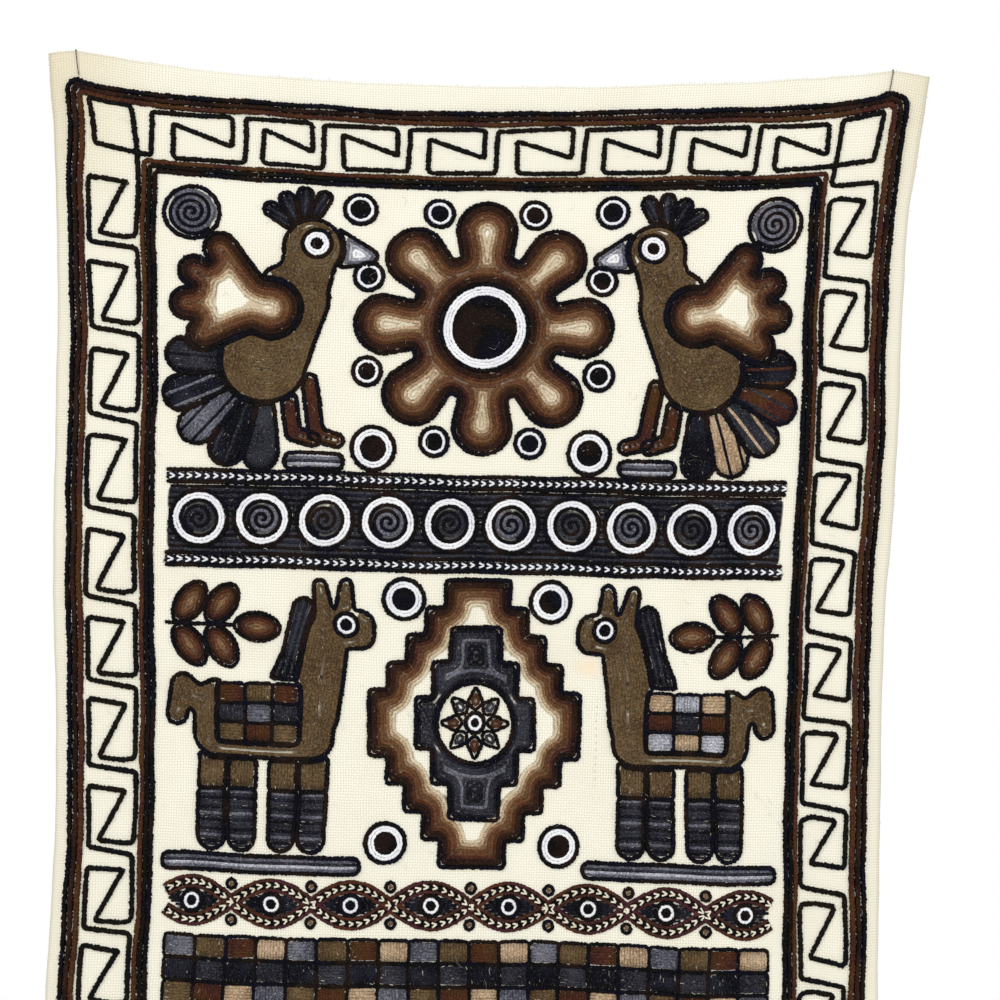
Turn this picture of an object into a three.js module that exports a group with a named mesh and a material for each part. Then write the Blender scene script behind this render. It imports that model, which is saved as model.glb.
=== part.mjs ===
// A wall hanging: one piece of cream wool cloth, worked with yarn, that hangs from two fine
// threads sewn near its top corners. The worked face looks along -Y and the wall is at +Y.
// Millimetres, +Z up, with the origin at the middle of the cloth's top edge.

import * as THREE from 'three';

// The cut cloth. Its thickness takes in the yarn worked through it.
const CLOTH = { width: 600, length: 914, thickness: 2 };
const HALF_WIDTH = CLOTH.width / 2;
const HALF_THICK = CLOTH.thickness / 2;

// Where each thread is sewn in, as distances across from the middle and down from the edge, and
// how far its front leg leans on the way down.
const LEFT_STITCH = { across: -280.5, down: 20, lean: 1.8 };
const RIGHT_STITCH = { across: 274.3, down: 17.2, lean: -0.7 };
const THREAD = { diameter: 0.6, clearance: 0.35, rise: 0.75, sides: 8 };

// The top edge sags between the two threads, a little lower on the left of its middle, and the
// sag dies out further down the cloth. Outside the threads the corner tips droop.
const SAG = { depth: 16, skew: 0.12, fullness: 1.2, fade: 110 };
const TIP_DROOP = { slope: 0.1, fade: 60 };
// Each thread lifts the cloth round the stitches that it holds.
const PULL = { height: 4, reach: 13, blunt: 2 };

// How far each side reaches from the middle line at the start of its curled edge, and how far
// the edge has turned back towards the wall there, at several distances down the cloth.
const CURL_WIDTH = 24;
const SIDES = [
  { down: 0, left: 282.7, right: 279.5, leftTurn: 8, rightTurn: 8 },
  { down: 20, left: 281.7, right: 277.5, leftTurn: 20, rightTurn: 14 },
  { down: 50, left: 279.8, right: 274, leftTurn: 35, rightTurn: 20 },
  { down: 100, left: 279.2, right: 270, leftTurn: 48, rightTurn: 36 },
  { down: 170, left: 276.2, right: 267.4, leftTurn: 47, rightTurn: 37 },
  { down: 240, left: 275.4, right: 266.8, leftTurn: 46, rightTurn: 39 },
  { down: 310, left: 275.3, right: 264.6, leftTurn: 46, rightTurn: 40 },
  { down: 375, left: 274.6, right: 261.4, leftTurn: 48, rightTurn: 42 },
  { down: 445, left: 271.2, right: 260.6, leftTurn: 50, rightTurn: 44 },
  { down: 515, left: 269.5, right: 261.6, leftTurn: 51, rightTurn: 45 },
  { down: 590, left: 271.2, right: 262.6, leftTurn: 52, rightTurn: 46 },
  { down: 650, left: 272.8, right: 263.4, leftTurn: 49, rightTurn: 46 },
  { down: 760, left: 272.5, right: 264, leftTurn: 44, rightTurn: 46 },
  { down: 914, left: 273, right: 266, leftTurn: 34, rightTurn: 38 },
];

// Soft folds, each along a straight run on the cloth. Height is towards the viewer.
const FOLDS = [
  { fromX: -272, fromDown: 24, toX: -150, toDown: 300, width: 46, height: 5 },
  { fromX: 266, fromDown: 24, toX: 120, toDown: 270, width: 44, height: 4.5 },
  { fromX: -190, fromDown: 52, toX: 170, toDown: 66, width: 36, height: -3 },
  { fromX: -60, fromDown: 170, toX: 90, toDown: 180, width: 60, height: 3 },
  { fromX: -95, fromDown: 360, toX: -118, toDown: 930, width: 62, height: 6 },
  { fromX: 25, fromDown: 430, toX: 40, toDown: 930, width: 58, height: -6 },
  { fromX: 165, fromDown: 330, toX: 182, toDown: 930, width: 60, height: 5 },
  { fromX: -215, fromDown: 470, toX: -222, toDown: 930, width: 40, height: -4 },
  { fromX: 236, fromDown: 560, toX: 244, toDown: 930, width: 34, height: -4 },
];

// Mesh steps: short ones at the edges, where the cloth bends most, and long ones between.
const STEPS = { edge: 5, edgeBand: 45, across: 25, top: 6, topBand: 60, down: 26 };

const clamp = (value, low, high) => Math.min(Math.max(value, low), high);

// One column of SIDES at any distance down: a smooth curve through its rows.
function side(down, column) {
  const last = SIDES.length - 1;
  const row = SIDES.findIndex((entry) => entry.down > down);
  const next = row < 0 ? last : Math.max(row, 1);
  const [before, start, end, after] = [next - 2, next - 1, next, next + 1].map((index) => {
    return SIDES[clamp(index, 0, last)];
  });
  const gap = end.down - start.down;
  const startSlope = ((end[column] - before[column]) / (end.down - before.down)) * gap;
  const endSlope = ((after[column] - start[column]) / (after.down - start.down)) * gap;
  const t = clamp((down - start.down) / gap, 0, 1);
  const rise = t * t * (3 - 2 * t);
  const bend = t * (1 - t) * (startSlope * (1 - t) - endSlope * t);
  return start[column] * (1 - rise) + end[column] * rise + bend;
}

// How far the top edge lies below the threads' level.
function sag(across) {
  const t = (across - LEFT_STITCH.across) / (RIGHT_STITCH.across - LEFT_STITCH.across);
  if (t < 0 || t > 1) {
    const out = Math.max(LEFT_STITCH.across - across, across - RIGHT_STITCH.across);
    return TIP_DROOP.slope * out;
  }
  const hollow = 1 - (1 - Math.sin(Math.PI * t)) ** SAG.fullness;
  return SAG.depth * hollow * (1 + SAG.skew * Math.cos(Math.PI * t));
}

// The lift that a thread gives to a place on the cloth.
function pull(across, down) {
  const lift = (stitch) => {
    const away = Math.hypot(across - stitch.across, down - stitch.down, PULL.blunt);
    return PULL.height * Math.exp((PULL.blunt - away) / PULL.reach);
  };
  return lift(LEFT_STITCH) + lift(RIGHT_STITCH);
}

function foldDepth(across, down) {
  let depth = 0;
  for (const fold of FOLDS) {
    const runX = fold.toX - fold.fromX;
    const runDown = fold.toDown - fold.fromDown;
    const along = (across - fold.fromX) * runX + (down - fold.fromDown) * runDown;
    const t = clamp(along / (runX * runX + runDown * runDown), 0, 1);
    const awayX = across - fold.fromX - t * runX;
    const awayDown = down - fold.fromDown - t * runDown;
    const away = (awayX * awayX + awayDown * awayDown) / (fold.width * fold.width);
    depth += fold.height * Math.exp(-away);
  }
  return depth;
}

// The hung place of a point that lay at (across, down) on the flat cloth.
function hung(across, down) {
  const start = HALF_WIDTH - CURL_WIDTH;
  const inner = clamp(across, -start, start);
  const share = (inner / start + 1) / 2;
  const reach = THREE.MathUtils.lerp(side(down, 'left'), side(down, 'right'), share);
  const turnColumn = across < 0 ? 'leftTurn' : 'rightTurn';
  const turn = THREE.MathUtils.degToRad(side(down, turnColumn));
  const radius = CURL_WIDTH / turn;
  const angle = Math.abs(across - inner) / radius;
  const x = (inner * reach) / start + Math.sign(across) * radius * Math.sin(angle);
  const y = radius * (1 - Math.cos(angle)) - foldDepth(across, down);
  const outside = across < LEFT_STITCH.across || across > RIGHT_STITCH.across;
  const fade = outside ? TIP_DROOP.fade : SAG.fade;
  const z = sag(0) - down - sag(across) * Math.exp(-down / fade) + pull(across, down);
  return new THREE.Vector3(x, y, z);
}

const TOP_MIDDLE = hung(0, 0);

// A hung place, moved off the cloth's middle layer. Positive offsets are towards the viewer.
function hungOffset(across, down, offset) {
  const step = 0.5;
  const rightward = hung(across + step, down).sub(hung(across - step, down));
  const downward = hung(across, down + step).sub(hung(across, down - step));
  const normal = downward.cross(rightward).normalize();
  return hung(across, down).sub(TOP_MIDDLE).addScaledVector(normal, offset);
}

// Positions from 0 to length, with short steps inside a band at the start, and at the end too
// where both is true.
function gridLines(length, band, shortStep, longStep, both) {
  const lines = [];
  const middle = length - band * (both ? 2 : 1);
  const shortCount = Math.round(band / shortStep);
  const longCount = Math.round(middle / longStep);
  for (let i = 0; i < shortCount; i += 1) lines.push((band * i) / shortCount);
  for (let i = 0; i < longCount; i += 1) lines.push(band + (middle * i) / longCount);
  const tailCount = both ? shortCount : 0;
  for (let i = 0; i <= tailCount; i += 1) {
    lines.push(band + middle + (both ? (band * i) / shortCount : 0));
  }
  return lines;
}

// The cloth as one closed sheet: a front and a back grid, joined by strips round the edge.
function clothGeometry() {
  const columns = gridLines(CLOTH.width, STEPS.edgeBand, STEPS.edge, STEPS.across, true);
  const rows = gridLines(CLOTH.length, STEPS.topBand, STEPS.top, STEPS.down, false);
  const width = columns.length;
  const layerSize = width * rows.length;
  const positions = [];
  for (const offset of [HALF_THICK, -HALF_THICK]) {
    for (const down of rows) {
      for (const column of columns) {
        positions.push(...hungOffset(column - HALF_WIDTH, down, offset));
      }
    }
  }
  const faces = [];
  const quad = (a, b, c, d) => faces.push(a, b, c, a, c, d);
  for (let r = 0; r < rows.length - 1; r += 1) {
    for (let c = 0; c < width - 1; c += 1) {
      const corner = r * width + c;
      quad(corner, corner + width, corner + width + 1, corner + 1);
      const behind = corner + layerSize;
      quad(behind, behind + 1, behind + width + 1, behind + width);
    }
  }
  const edge = (from, to) => quad(from, to, to + layerSize, from + layerSize);
  const bottomRow = (rows.length - 1) * width;
  for (let c = 0; c < width - 1; c += 1) {
    edge(c, c + 1);
    edge(bottomRow + c + 1, bottomRow + c);
  }
  for (let r = 0; r < rows.length - 1; r += 1) {
    edge((r + 1) * width, r * width);
    edge(r * width + width - 1, (r + 1) * width + width - 1);
  }
  const geometry = new THREE.BufferGeometry();
  geometry.setAttribute('position', new THREE.Float32BufferAttribute(positions, 3));
  geometry.setIndex(faces);
  geometry.computeVertexNormals();
  return geometry;
}

// A hanging thread: up the face from its stitch, over the top edge and down the back.
function threadGeometry(stitch) {
  const radius = THREAD.diameter / 2;
  const stand = HALF_THICK + THREAD.clearance + radius;
  const legStep = 4;
  const legDown = [];
  for (let down = stitch.down; down > 0.5; down -= legStep) legDown.push(down);
  const onFace = (down) => {
    const lean = (stitch.lean * down) / stitch.down;
    return hungOffset(stitch.across + lean, down, stand);
  };
  const onBack = (down) => hungOffset(stitch.across, down, -stand);
  const front = legDown.map(onFace);
  const back = legDown.map(onBack).reverse();
  const top = hungOffset(stitch.across, 0, 0);
  const over = [];
  const turns = 8;
  for (let i = 0; i <= turns; i += 1) {
    const angle = (Math.PI * i) / turns;
    const y = -stand * Math.cos(angle);
    over.push(top.clone().add(new THREE.Vector3(0, y, THREAD.rise * Math.sin(angle))));
  }
  const route = new THREE.CatmullRomCurve3([...front, ...over, ...back], false, 'centripetal');
  const section = new THREE.Shape();
  for (let i = 0; i < THREAD.sides; i += 1) {
    const angle = (2 * Math.PI * i) / THREAD.sides;
    const point = [radius * Math.cos(angle), radius * Math.sin(angle)];
    if (i === 0) section.moveTo(...point);
    else section.lineTo(...point);
  }
  section.closePath();
  const settings = { steps: 34, extrudePath: route, bevelEnabled: false };
  return new THREE.ExtrudeGeometry(section, settings);
}

function addPiece(group, name, geometry, material) {
  const piece = new THREE.Mesh(geometry, material);
  piece.name = name;
  group.add(piece);
}

const woolCloth = new THREE.MeshStandardMaterial({ color: 0xf0ebd7, roughness: 0.95, metalness: 0 });
const darkThread = new THREE.MeshStandardMaterial({ color: 0x1c1c1a, roughness: 0.8, metalness: 0 });

const hanging = new THREE.Group();
addPiece(hanging, 'cloth', clothGeometry(), woolCloth);
addPiece(hanging, 'hanging_thread_left', threadGeometry(LEFT_STITCH), darkThread);
addPiece(hanging, 'hanging_thread_right', threadGeometry(RIGHT_STITCH), darkThread);

export default hanging;
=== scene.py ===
# %% [markdown]
# # An embroidered wall hanging
# A piece of cream wool cloth hangs from two fine threads near its top corners. Yarn is sewn on
# its face: a banded border with a running fret, and geometric motifs inside it. A maker sews
# the cloth while it lies flat and hangs it afterwards, so this lesson does the same. Every
# piece is made flat, and one function then bends cloth and yarn together into the hung shape.

# %% Tools, and the fixed frame
import math
from collections import namedtuple

import bmesh
import bpy
import numpy as np
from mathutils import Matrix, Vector


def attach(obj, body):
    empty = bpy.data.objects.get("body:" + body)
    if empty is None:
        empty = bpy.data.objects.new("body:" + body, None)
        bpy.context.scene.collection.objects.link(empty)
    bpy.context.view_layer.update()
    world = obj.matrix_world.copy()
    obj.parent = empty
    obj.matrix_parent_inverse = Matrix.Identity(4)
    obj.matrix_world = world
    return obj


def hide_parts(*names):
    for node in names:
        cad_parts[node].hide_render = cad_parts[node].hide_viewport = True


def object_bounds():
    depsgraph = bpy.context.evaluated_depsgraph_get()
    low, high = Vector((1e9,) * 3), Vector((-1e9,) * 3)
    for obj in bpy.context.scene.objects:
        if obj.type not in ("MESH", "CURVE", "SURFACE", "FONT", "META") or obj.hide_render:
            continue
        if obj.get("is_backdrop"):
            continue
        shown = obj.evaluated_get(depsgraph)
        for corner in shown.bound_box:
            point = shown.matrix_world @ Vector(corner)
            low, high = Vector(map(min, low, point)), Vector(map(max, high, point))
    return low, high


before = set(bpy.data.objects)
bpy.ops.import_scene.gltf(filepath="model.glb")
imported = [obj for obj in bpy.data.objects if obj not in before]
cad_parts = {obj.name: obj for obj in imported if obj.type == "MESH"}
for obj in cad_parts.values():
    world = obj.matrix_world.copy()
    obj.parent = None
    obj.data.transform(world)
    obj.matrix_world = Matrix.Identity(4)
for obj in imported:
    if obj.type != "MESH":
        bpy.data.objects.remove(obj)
cad_low, cad_high = (list(corner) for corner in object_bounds())
scene = bpy.context.scene
MM = 0.001
print("frame box in metres:", np.round(cad_low, 3), np.round(cad_high, 3))

# %% [markdown]
# ## The camera
# The hanging is seen from straight ahead, by a long lens a few steps away, and it runs on past
# the bottom of the view. The camera is rolled a little, so the top edge tilts down to the
# right. The camera comes first, because everything else is judged through it.

# %% The camera
VIEW_DISTANCE = 1.6
VIEW_SPAN = 0.693
VIEW_MIDDLE = (0.0135, -0.2863)
VIEW_ROLL = 1.43

camera_data = bpy.data.cameras.new("front_camera")
camera_data.sensor_width = 36.0
camera_data.lens = camera_data.sensor_width * VIEW_DISTANCE / VIEW_SPAN
camera = bpy.data.objects.new("front_camera", camera_data)
scene.collection.objects.link(camera)
camera.location = (VIEW_MIDDLE[0], -VIEW_DISTANCE, VIEW_MIDDLE[1])
camera.rotation_euler = (math.pi / 2, -math.radians(VIEW_ROLL), 0.0)
scene.camera = camera
print("lens in mm:", round(camera_data.lens, 1))

# %% [markdown]
# ## Light and background
# A white world lights the cloth softly from all round, and one broad lamp from the upper left
# gives the yarn its relief. The world is plain white where the camera sees it, so the
# background stays white however strong the lamps are. The floor is well below the hanging.

# %% Light, world and floor
WORLD_STRENGTH = 0.60
LAMPS = (
    {"name": "key", "place": (-1.5, -1.9, 1.1), "size": 1.6, "power": 36.0},
    {"name": "fill", "place": (1.7, -1.7, 0.1), "size": 2.0, "power": 22.0},
    {"name": "back", "place": (0.4, 2.0, 0.8), "size": 2.0, "power": 26.0},
)

scene.view_settings.view_transform = "Standard"
world = bpy.data.worlds.new("studio")
scene.world = world
world.use_nodes = True
sky = world.node_tree
sky.nodes.clear()
lighting = sky.nodes.new("ShaderNodeBackground")
lighting.inputs["Strength"].default_value = WORLD_STRENGTH
lighting.inputs["Color"].default_value = (1.0, 1.0, 1.0, 1.0)
seen = sky.nodes.new("ShaderNodeBackground")
seen.inputs["Strength"].default_value = 1.0
seen.inputs["Color"].default_value = (1.0, 1.0, 1.0, 1.0)
rays = sky.nodes.new("ShaderNodeLightPath")
chooser = sky.nodes.new("ShaderNodeMixShader")
sky_output = sky.nodes.new("ShaderNodeOutputWorld")
plain = [rays.outputs["Is " + kind + " Ray"] for kind in ("Camera", "Glossy", "Transmission")]
either = sky.nodes.new("ShaderNodeMath")
any_of = sky.nodes.new("ShaderNodeMath")
either.operation = any_of.operation = "MAXIMUM"
sky.links.new(plain[0], either.inputs[0])
sky.links.new(plain[1], either.inputs[1])
sky.links.new(either.outputs[0], any_of.inputs[0])
sky.links.new(plain[2], any_of.inputs[1])
sky.links.new(any_of.outputs[0], chooser.inputs[0])
sky.links.new(lighting.outputs[0], chooser.inputs[1])
sky.links.new(seen.outputs[0], chooser.inputs[2])
sky.links.new(chooser.outputs[0], sky_output.inputs["Surface"])

AIM = Vector((0.0, 0.0, -0.4))
for lamp in LAMPS:
    lamp_data = bpy.data.lights.new(lamp["name"], "AREA")
    lamp_data.size = lamp["size"]
    lamp_data.energy = lamp["power"]
    lamp_object = bpy.data.objects.new(lamp["name"], lamp_data)
    scene.collection.objects.link(lamp_object)
    lamp_object.location = lamp["place"]
    lamp_object.rotation_euler = (AIM - lamp_object.location).to_track_quat("-Z", "Y").to_euler()

FLOOR_DROP = 0.16
floor_mesh = bpy.data.meshes.new("floor")
floor_bm = bmesh.new()
bmesh.ops.create_circle(floor_bm, cap_ends=True, segments=64, radius=1.5)
bmesh.ops.translate(floor_bm, verts=floor_bm.verts, vec=(0.0, 0.0, cad_low[2] - FLOOR_DROP))
floor_bm.to_mesh(floor_mesh)
floor_bm.free()
floor = bpy.data.objects.new("floor", floor_mesh)
scene.collection.objects.link(floor)
floor_finish = bpy.data.materials.new("pale_floor")
floor_finish.use_nodes = True
floor_finish.node_tree.nodes["Principled BSDF"].inputs["Base Color"].default_value = (0.8, 0.8, 0.79, 1.0)
floor_finish.node_tree.nodes["Principled BSDF"].inputs["Roughness"].default_value = 0.9
floor_mesh.materials.append(floor_finish)
floor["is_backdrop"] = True
print("floor at", round(cad_low[2] - FLOOR_DROP, 3))

# %% [markdown]
# ## The hung shape
# On the flat cloth a point is (across, down): millimetres from the middle line and from the top
# edge. Hung up, the top edge sags between the threads, the side edges turn back towards the
# wall, each thread lifts the cloth round its stitches, and soft folds run down the cloth. These
# are the frame's own sizes, worked here for thousands of points at once. One thing is added
# that the frame leaves out: sewing draws the cloth together, so it puckers a little.

# %% Sizes of the cloth and of its hung shape
CLOTH_WIDTH = 600.0
CLOTH_LENGTH = 914.0
CLOTH_THICKNESS = 1.2
STITCH_LEFT, STITCH_RIGHT = (-280.5, 20.0), (274.3, 17.2)
SAG_DEPTH, SAG_SKEW, SAG_FULLNESS, SAG_FADE = 16.0, 0.12, 1.2, 110.0
DROOP_SLOPE, DROOP_FADE = 0.1, 60.0
PULL_HEIGHT, PULL_REACH, PULL_BLUNT = 4.0, 13.0, 2.0
CURL_WIDTH = 24.0

SIDE_COLUMNS = ("down", "left", "right", "left_turn", "right_turn")
SIDES = np.array([
    (0, 282.7, 279.5, 8, 8),
    (20, 281.7, 277.5, 20, 14),
    (50, 279.8, 274, 35, 20),
    (100, 279.2, 270, 48, 36),
    (170, 276.2, 267.4, 47, 37),
    (240, 275.4, 266.8, 46, 39),
    (310, 275.3, 264.6, 46, 40),
    (375, 274.6, 261.4, 48, 42),
    (445, 271.2, 260.6, 50, 44),
    (515, 269.5, 261.6, 51, 45),
    (590, 271.2, 262.6, 52, 46),
    (650, 272.8, 263.4, 49, 46),
    (760, 272.5, 264, 44, 46),
    (914, 273, 266, 34, 38),
], float)

# Each fold: from across, from down, to across, to down, its width and its height.
FOLDS = (
    (-272, 24, -150, 300, 46, 5),
    (266, 24, 120, 270, 44, 4.5),
    (-190, 52, 170, 66, 36, -3),
    (-60, 170, 90, 180, 60, 3),
    (-95, 360, -118, 930, 62, 6),
    (25, 430, 40, 930, 58, -6),
    (165, 330, 182, 930, 60, 5),
    (-215, 470, -222, 930, 40, -4),
    (236, 560, 244, 930, 34, -4),
)

# %% From the flat cloth to the hung one


def side(down, column):
    """One column of SIDES at any distance down: a smooth curve through its rows."""
    rows, values = SIDES[:, 0], SIDES[:, SIDE_COLUMNS.index(column)]
    last = len(rows) - 1
    end = np.clip(np.searchsorted(rows, down, side="right"), 1, last)
    start = end - 1
    before, after = np.maximum(start - 1, 0), np.minimum(end + 1, last)
    gap = rows[end] - rows[start]
    start_slope = (values[end] - values[before]) / (rows[end] - rows[before]) * gap
    end_slope = (values[after] - values[start]) / (rows[after] - rows[start]) * gap
    t = np.clip((down - rows[start]) / gap, 0.0, 1.0)
    rise = t * t * (3 - 2 * t)
    bend = t * (1 - t) * (start_slope * (1 - t) - end_slope * t)
    return values[start] * (1 - rise) + values[end] * rise + bend


def sag(across):
    """How far the top edge lies below the threads' level."""
    left, right = STITCH_LEFT[0], STITCH_RIGHT[0]
    t = (across - left) / (right - left)
    hollow = 1 - (1 - np.sin(np.pi * np.clip(t, 0.0, 1.0))) ** SAG_FULLNESS
    between = SAG_DEPTH * hollow * (1 + SAG_SKEW * np.cos(np.pi * t))
    outside = DROOP_SLOPE * np.maximum(left - across, across - right)
    return np.where((t < 0) | (t > 1), outside, between)


def pull(across, down):
    """The lift that the two threads give to a place on the cloth."""
    lift = 0.0
    for sewn_across, sewn_down in (STITCH_LEFT, STITCH_RIGHT):
        away = np.sqrt((across - sewn_across) ** 2 + (down - sewn_down) ** 2 + PULL_BLUNT ** 2)
        lift = lift + PULL_HEIGHT * np.exp((PULL_BLUNT - away) / PULL_REACH)
    return lift


def fold_depth(across, down):
    """How far the folds bring the cloth forward."""
    depth = 0.0
    for from_x, from_down, to_x, to_down, width, height in FOLDS:
        run_x, run_down = to_x - from_x, to_down - from_down
        along = (across - from_x) * run_x + (down - from_down) * run_down
        t = np.clip(along / (run_x ** 2 + run_down ** 2), 0.0, 1.0)
        away = (across - from_x - t * run_x) ** 2 + (down - from_down - t * run_down) ** 2
        depth = depth + height * np.exp(-away / width ** 2)
    return depth


PUCKERS = ((41.0, 13.0, 0.30), (-17.0, 37.0, 0.28), (23.0, -19.0, 0.22), (11.0, 9.5, 0.10))


def pucker(across, down):
    """Small ripples from the sewing: crossing waves, given by their lengths and height."""
    depth = 0.0
    for number, (wave_x, wave_down, height) in enumerate(PUCKERS):
        bend = 2.0 * np.sin(down / 61.0 + number) + 1.5 * np.sin(across / 47.0 - number)
        depth = depth + height * np.sin(across / wave_x + down / wave_down + bend)
    return depth


def hung(across, down):
    """The hung places, in mm, of points (across, down) on the flat cloth."""
    start = CLOTH_WIDTH / 2 - CURL_WIDTH
    inner = np.clip(across, -start, start)
    share = (inner / start + 1) / 2
    reach = side(down, "left") * (1 - share) + side(down, "right") * share
    turn = np.where(across < 0, side(down, "left_turn"), side(down, "right_turn"))
    radius = CURL_WIDTH / np.radians(turn)
    angle = np.abs(across - inner) / radius
    x = inner * reach / start + np.sign(across) * radius * np.sin(angle)
    y = radius * (1 - np.cos(angle)) - fold_depth(across, down) - pucker(across, down)
    outside = (across < STITCH_LEFT[0]) | (across > STITCH_RIGHT[0])
    fade = np.where(outside, DROOP_FADE, SAG_FADE)
    z = sag(0.0) - down - sag(across) * np.exp(-down / fade) + pull(across, down)
    return np.stack([x, y, z], axis=-1)


TOP_MIDDLE = hung(np.array(0.0), np.array(0.0))
TOP_MIDDLE[1] += pucker(0.0, 0.0)


def hang(flat):
    """Hangs flat points, in mm: x across, y up from the top edge, z off the middle layer."""
    across, down, height = flat[:, 0], -flat[:, 1], flat[:, 2]
    step = 0.5
    rightward = hung(across + step, down) - hung(across - step, down)
    downward = hung(across, down + step) - hung(across, down - step)
    normal = np.cross(downward, rightward)
    normal /= np.linalg.norm(normal, axis=1)[:, None]
    return hung(across, down) - TOP_MIDDLE + normal * height[:, None]


def hang_mesh(mesh):
    """Moves a flat mesh, in metres, to its hung place."""
    places = np.empty(len(mesh.vertices) * 3, np.float32)
    mesh.vertices.foreach_get("co", places)
    places = places.reshape(-1, 3).astype(float) / MM
    mesh.vertices.foreach_set("co", (hang(places) * MM).astype(np.float32).ravel())
    mesh.update()


corners = hang(np.array([(x, -down, 0.0) for x in (-300.0, 300.0) for down in (0.0, 914.0)]))
print("hung corners in mm:", np.round(corners, 1).tolist())

# %% [markdown]
# ## Shader maths in Python
# Wool needs patterns that are worked out, not pictured: twist, weave, specks and tints. Adding
# shader nodes one by one hides the idea behind wiring. So one small class wraps a socket, and
# Python's own operators add the Math nodes. An expression then reads like the formula it is.

# %% A socket with operators


class Wire:
    """A node socket that can be added, multiplied and mixed in Python expressions."""

    def __init__(self, tree, socket=None):
        self.tree = tree
        self.socket = socket

    def node(self, kind, settings, inputs, output=0):
        """Adds a node of any type: its settings first, then its sockets' values or links."""
        made = self.tree.nodes.new(kind)
        for name, value in settings.items():
            setattr(made, name, value)
        for key, value in inputs.items():
            if isinstance(value, Wire):
                self.tree.links.new(value.socket, made.inputs[key])
            else:
                made.inputs[key].default_value = value
        return Wire(self.tree, made.outputs[output])

    def maths(self, operation, *others):
        """A Math node whose first value is this wire."""
        return self.node("ShaderNodeMath", {"operation": operation}, dict(enumerate((self, *others))))

    def __add__(self, other):
        return self.maths("ADD", other)

    def __sub__(self, other):
        return self.maths("SUBTRACT", other)

    def __rsub__(self, other):
        return self * -1.0 + other

    def __mul__(self, other):
        return self.maths("MULTIPLY", other)

    __radd__ = __add__
    __rmul__ = __mul__

    def sine(self):
        return self.maths("SINE")

    def step(self, low, high):
        """0 below low and 1 above high, eased between."""
        settings = {"interpolation_type": "SMOOTHSTEP", "data_type": "FLOAT"}
        return self.node("ShaderNodeMapRange", settings, {0: self, 1: low, 2: high})

    def between(self, first, second):
        """A colour mixed from first to second by this wire."""
        return self.node("ShaderNodeMix", {"data_type": "RGBA"}, {0: self, 6: first, 7: second}, 2)

    def attribute(self, name):
        return self.node("ShaderNodeAttribute", {"attribute_name": name}, {}, "Vector")

    def axes(self):
        """The x, y and z of a vector, each as a wire."""
        split = self.node("ShaderNodeSeparateXYZ", {}, {0: self}).socket.node
        return [Wire(self.tree, output) for output in split.outputs]

    def noise(self, vector, scale, detail=2.0):
        inputs = {"Vector": vector, "Scale": scale, "Detail": detail}
        return self.node("ShaderNodeTexNoise", {}, inputs, "Fac")

    def vector(self, x, y, z=0.0):
        return self.node("ShaderNodeCombineXYZ", {}, {0: x, 1: y, 2: z})


def colour(red, green, blue):
    """A colour from its everyday 0 to 255 values, as the linear one that a shader needs."""
    parts = [value / 255 for value in (red, green, blue)]
    linear = [p / 12.92 if p <= 0.04045 else ((p + 0.055) / 1.055) ** 2.4 for p in parts]
    return (*linear, 1.0)


def finish(name, roughness, specular, paint):
    """A rough woollen material. paint(wire) gives its base colour and its bump height in metres."""
    material = bpy.data.materials.new(name)
    material.use_nodes = True
    tree = material.node_tree
    shader = tree.nodes["Principled BSDF"]
    shader.inputs["Roughness"].default_value = roughness
    shader.inputs["Specular IOR Level"].default_value = specular
    base, height = paint(Wire(tree))
    bump = height.node("ShaderNodeBump", {}, {"Strength": 1.0, "Distance": 1.0, "Height": height})
    tree.links.new(base.socket, shader.inputs["Base Color"])
    tree.links.new(bump.socket, shader.inputs["Normal"])
    return material


print("shader helpers ready")

# %% [markdown]
# ## The yarns
# The yarn is undyed and plant-dyed wool, so no tone is even. It drifts slowly from one tone to
# another, and brushing has felted neighbouring rows into one speckled surface with single pale
# hairs. Both read Object coordinates, so they run on from row to row. Each row of yarn also
# carries an attribute called stitch: how far along the row a point is, how far across the yarn
# it is (-1 to 1), and a number of the row's own. The twist of the yarn is a wave that runs
# slantwise over the first two.

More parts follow.
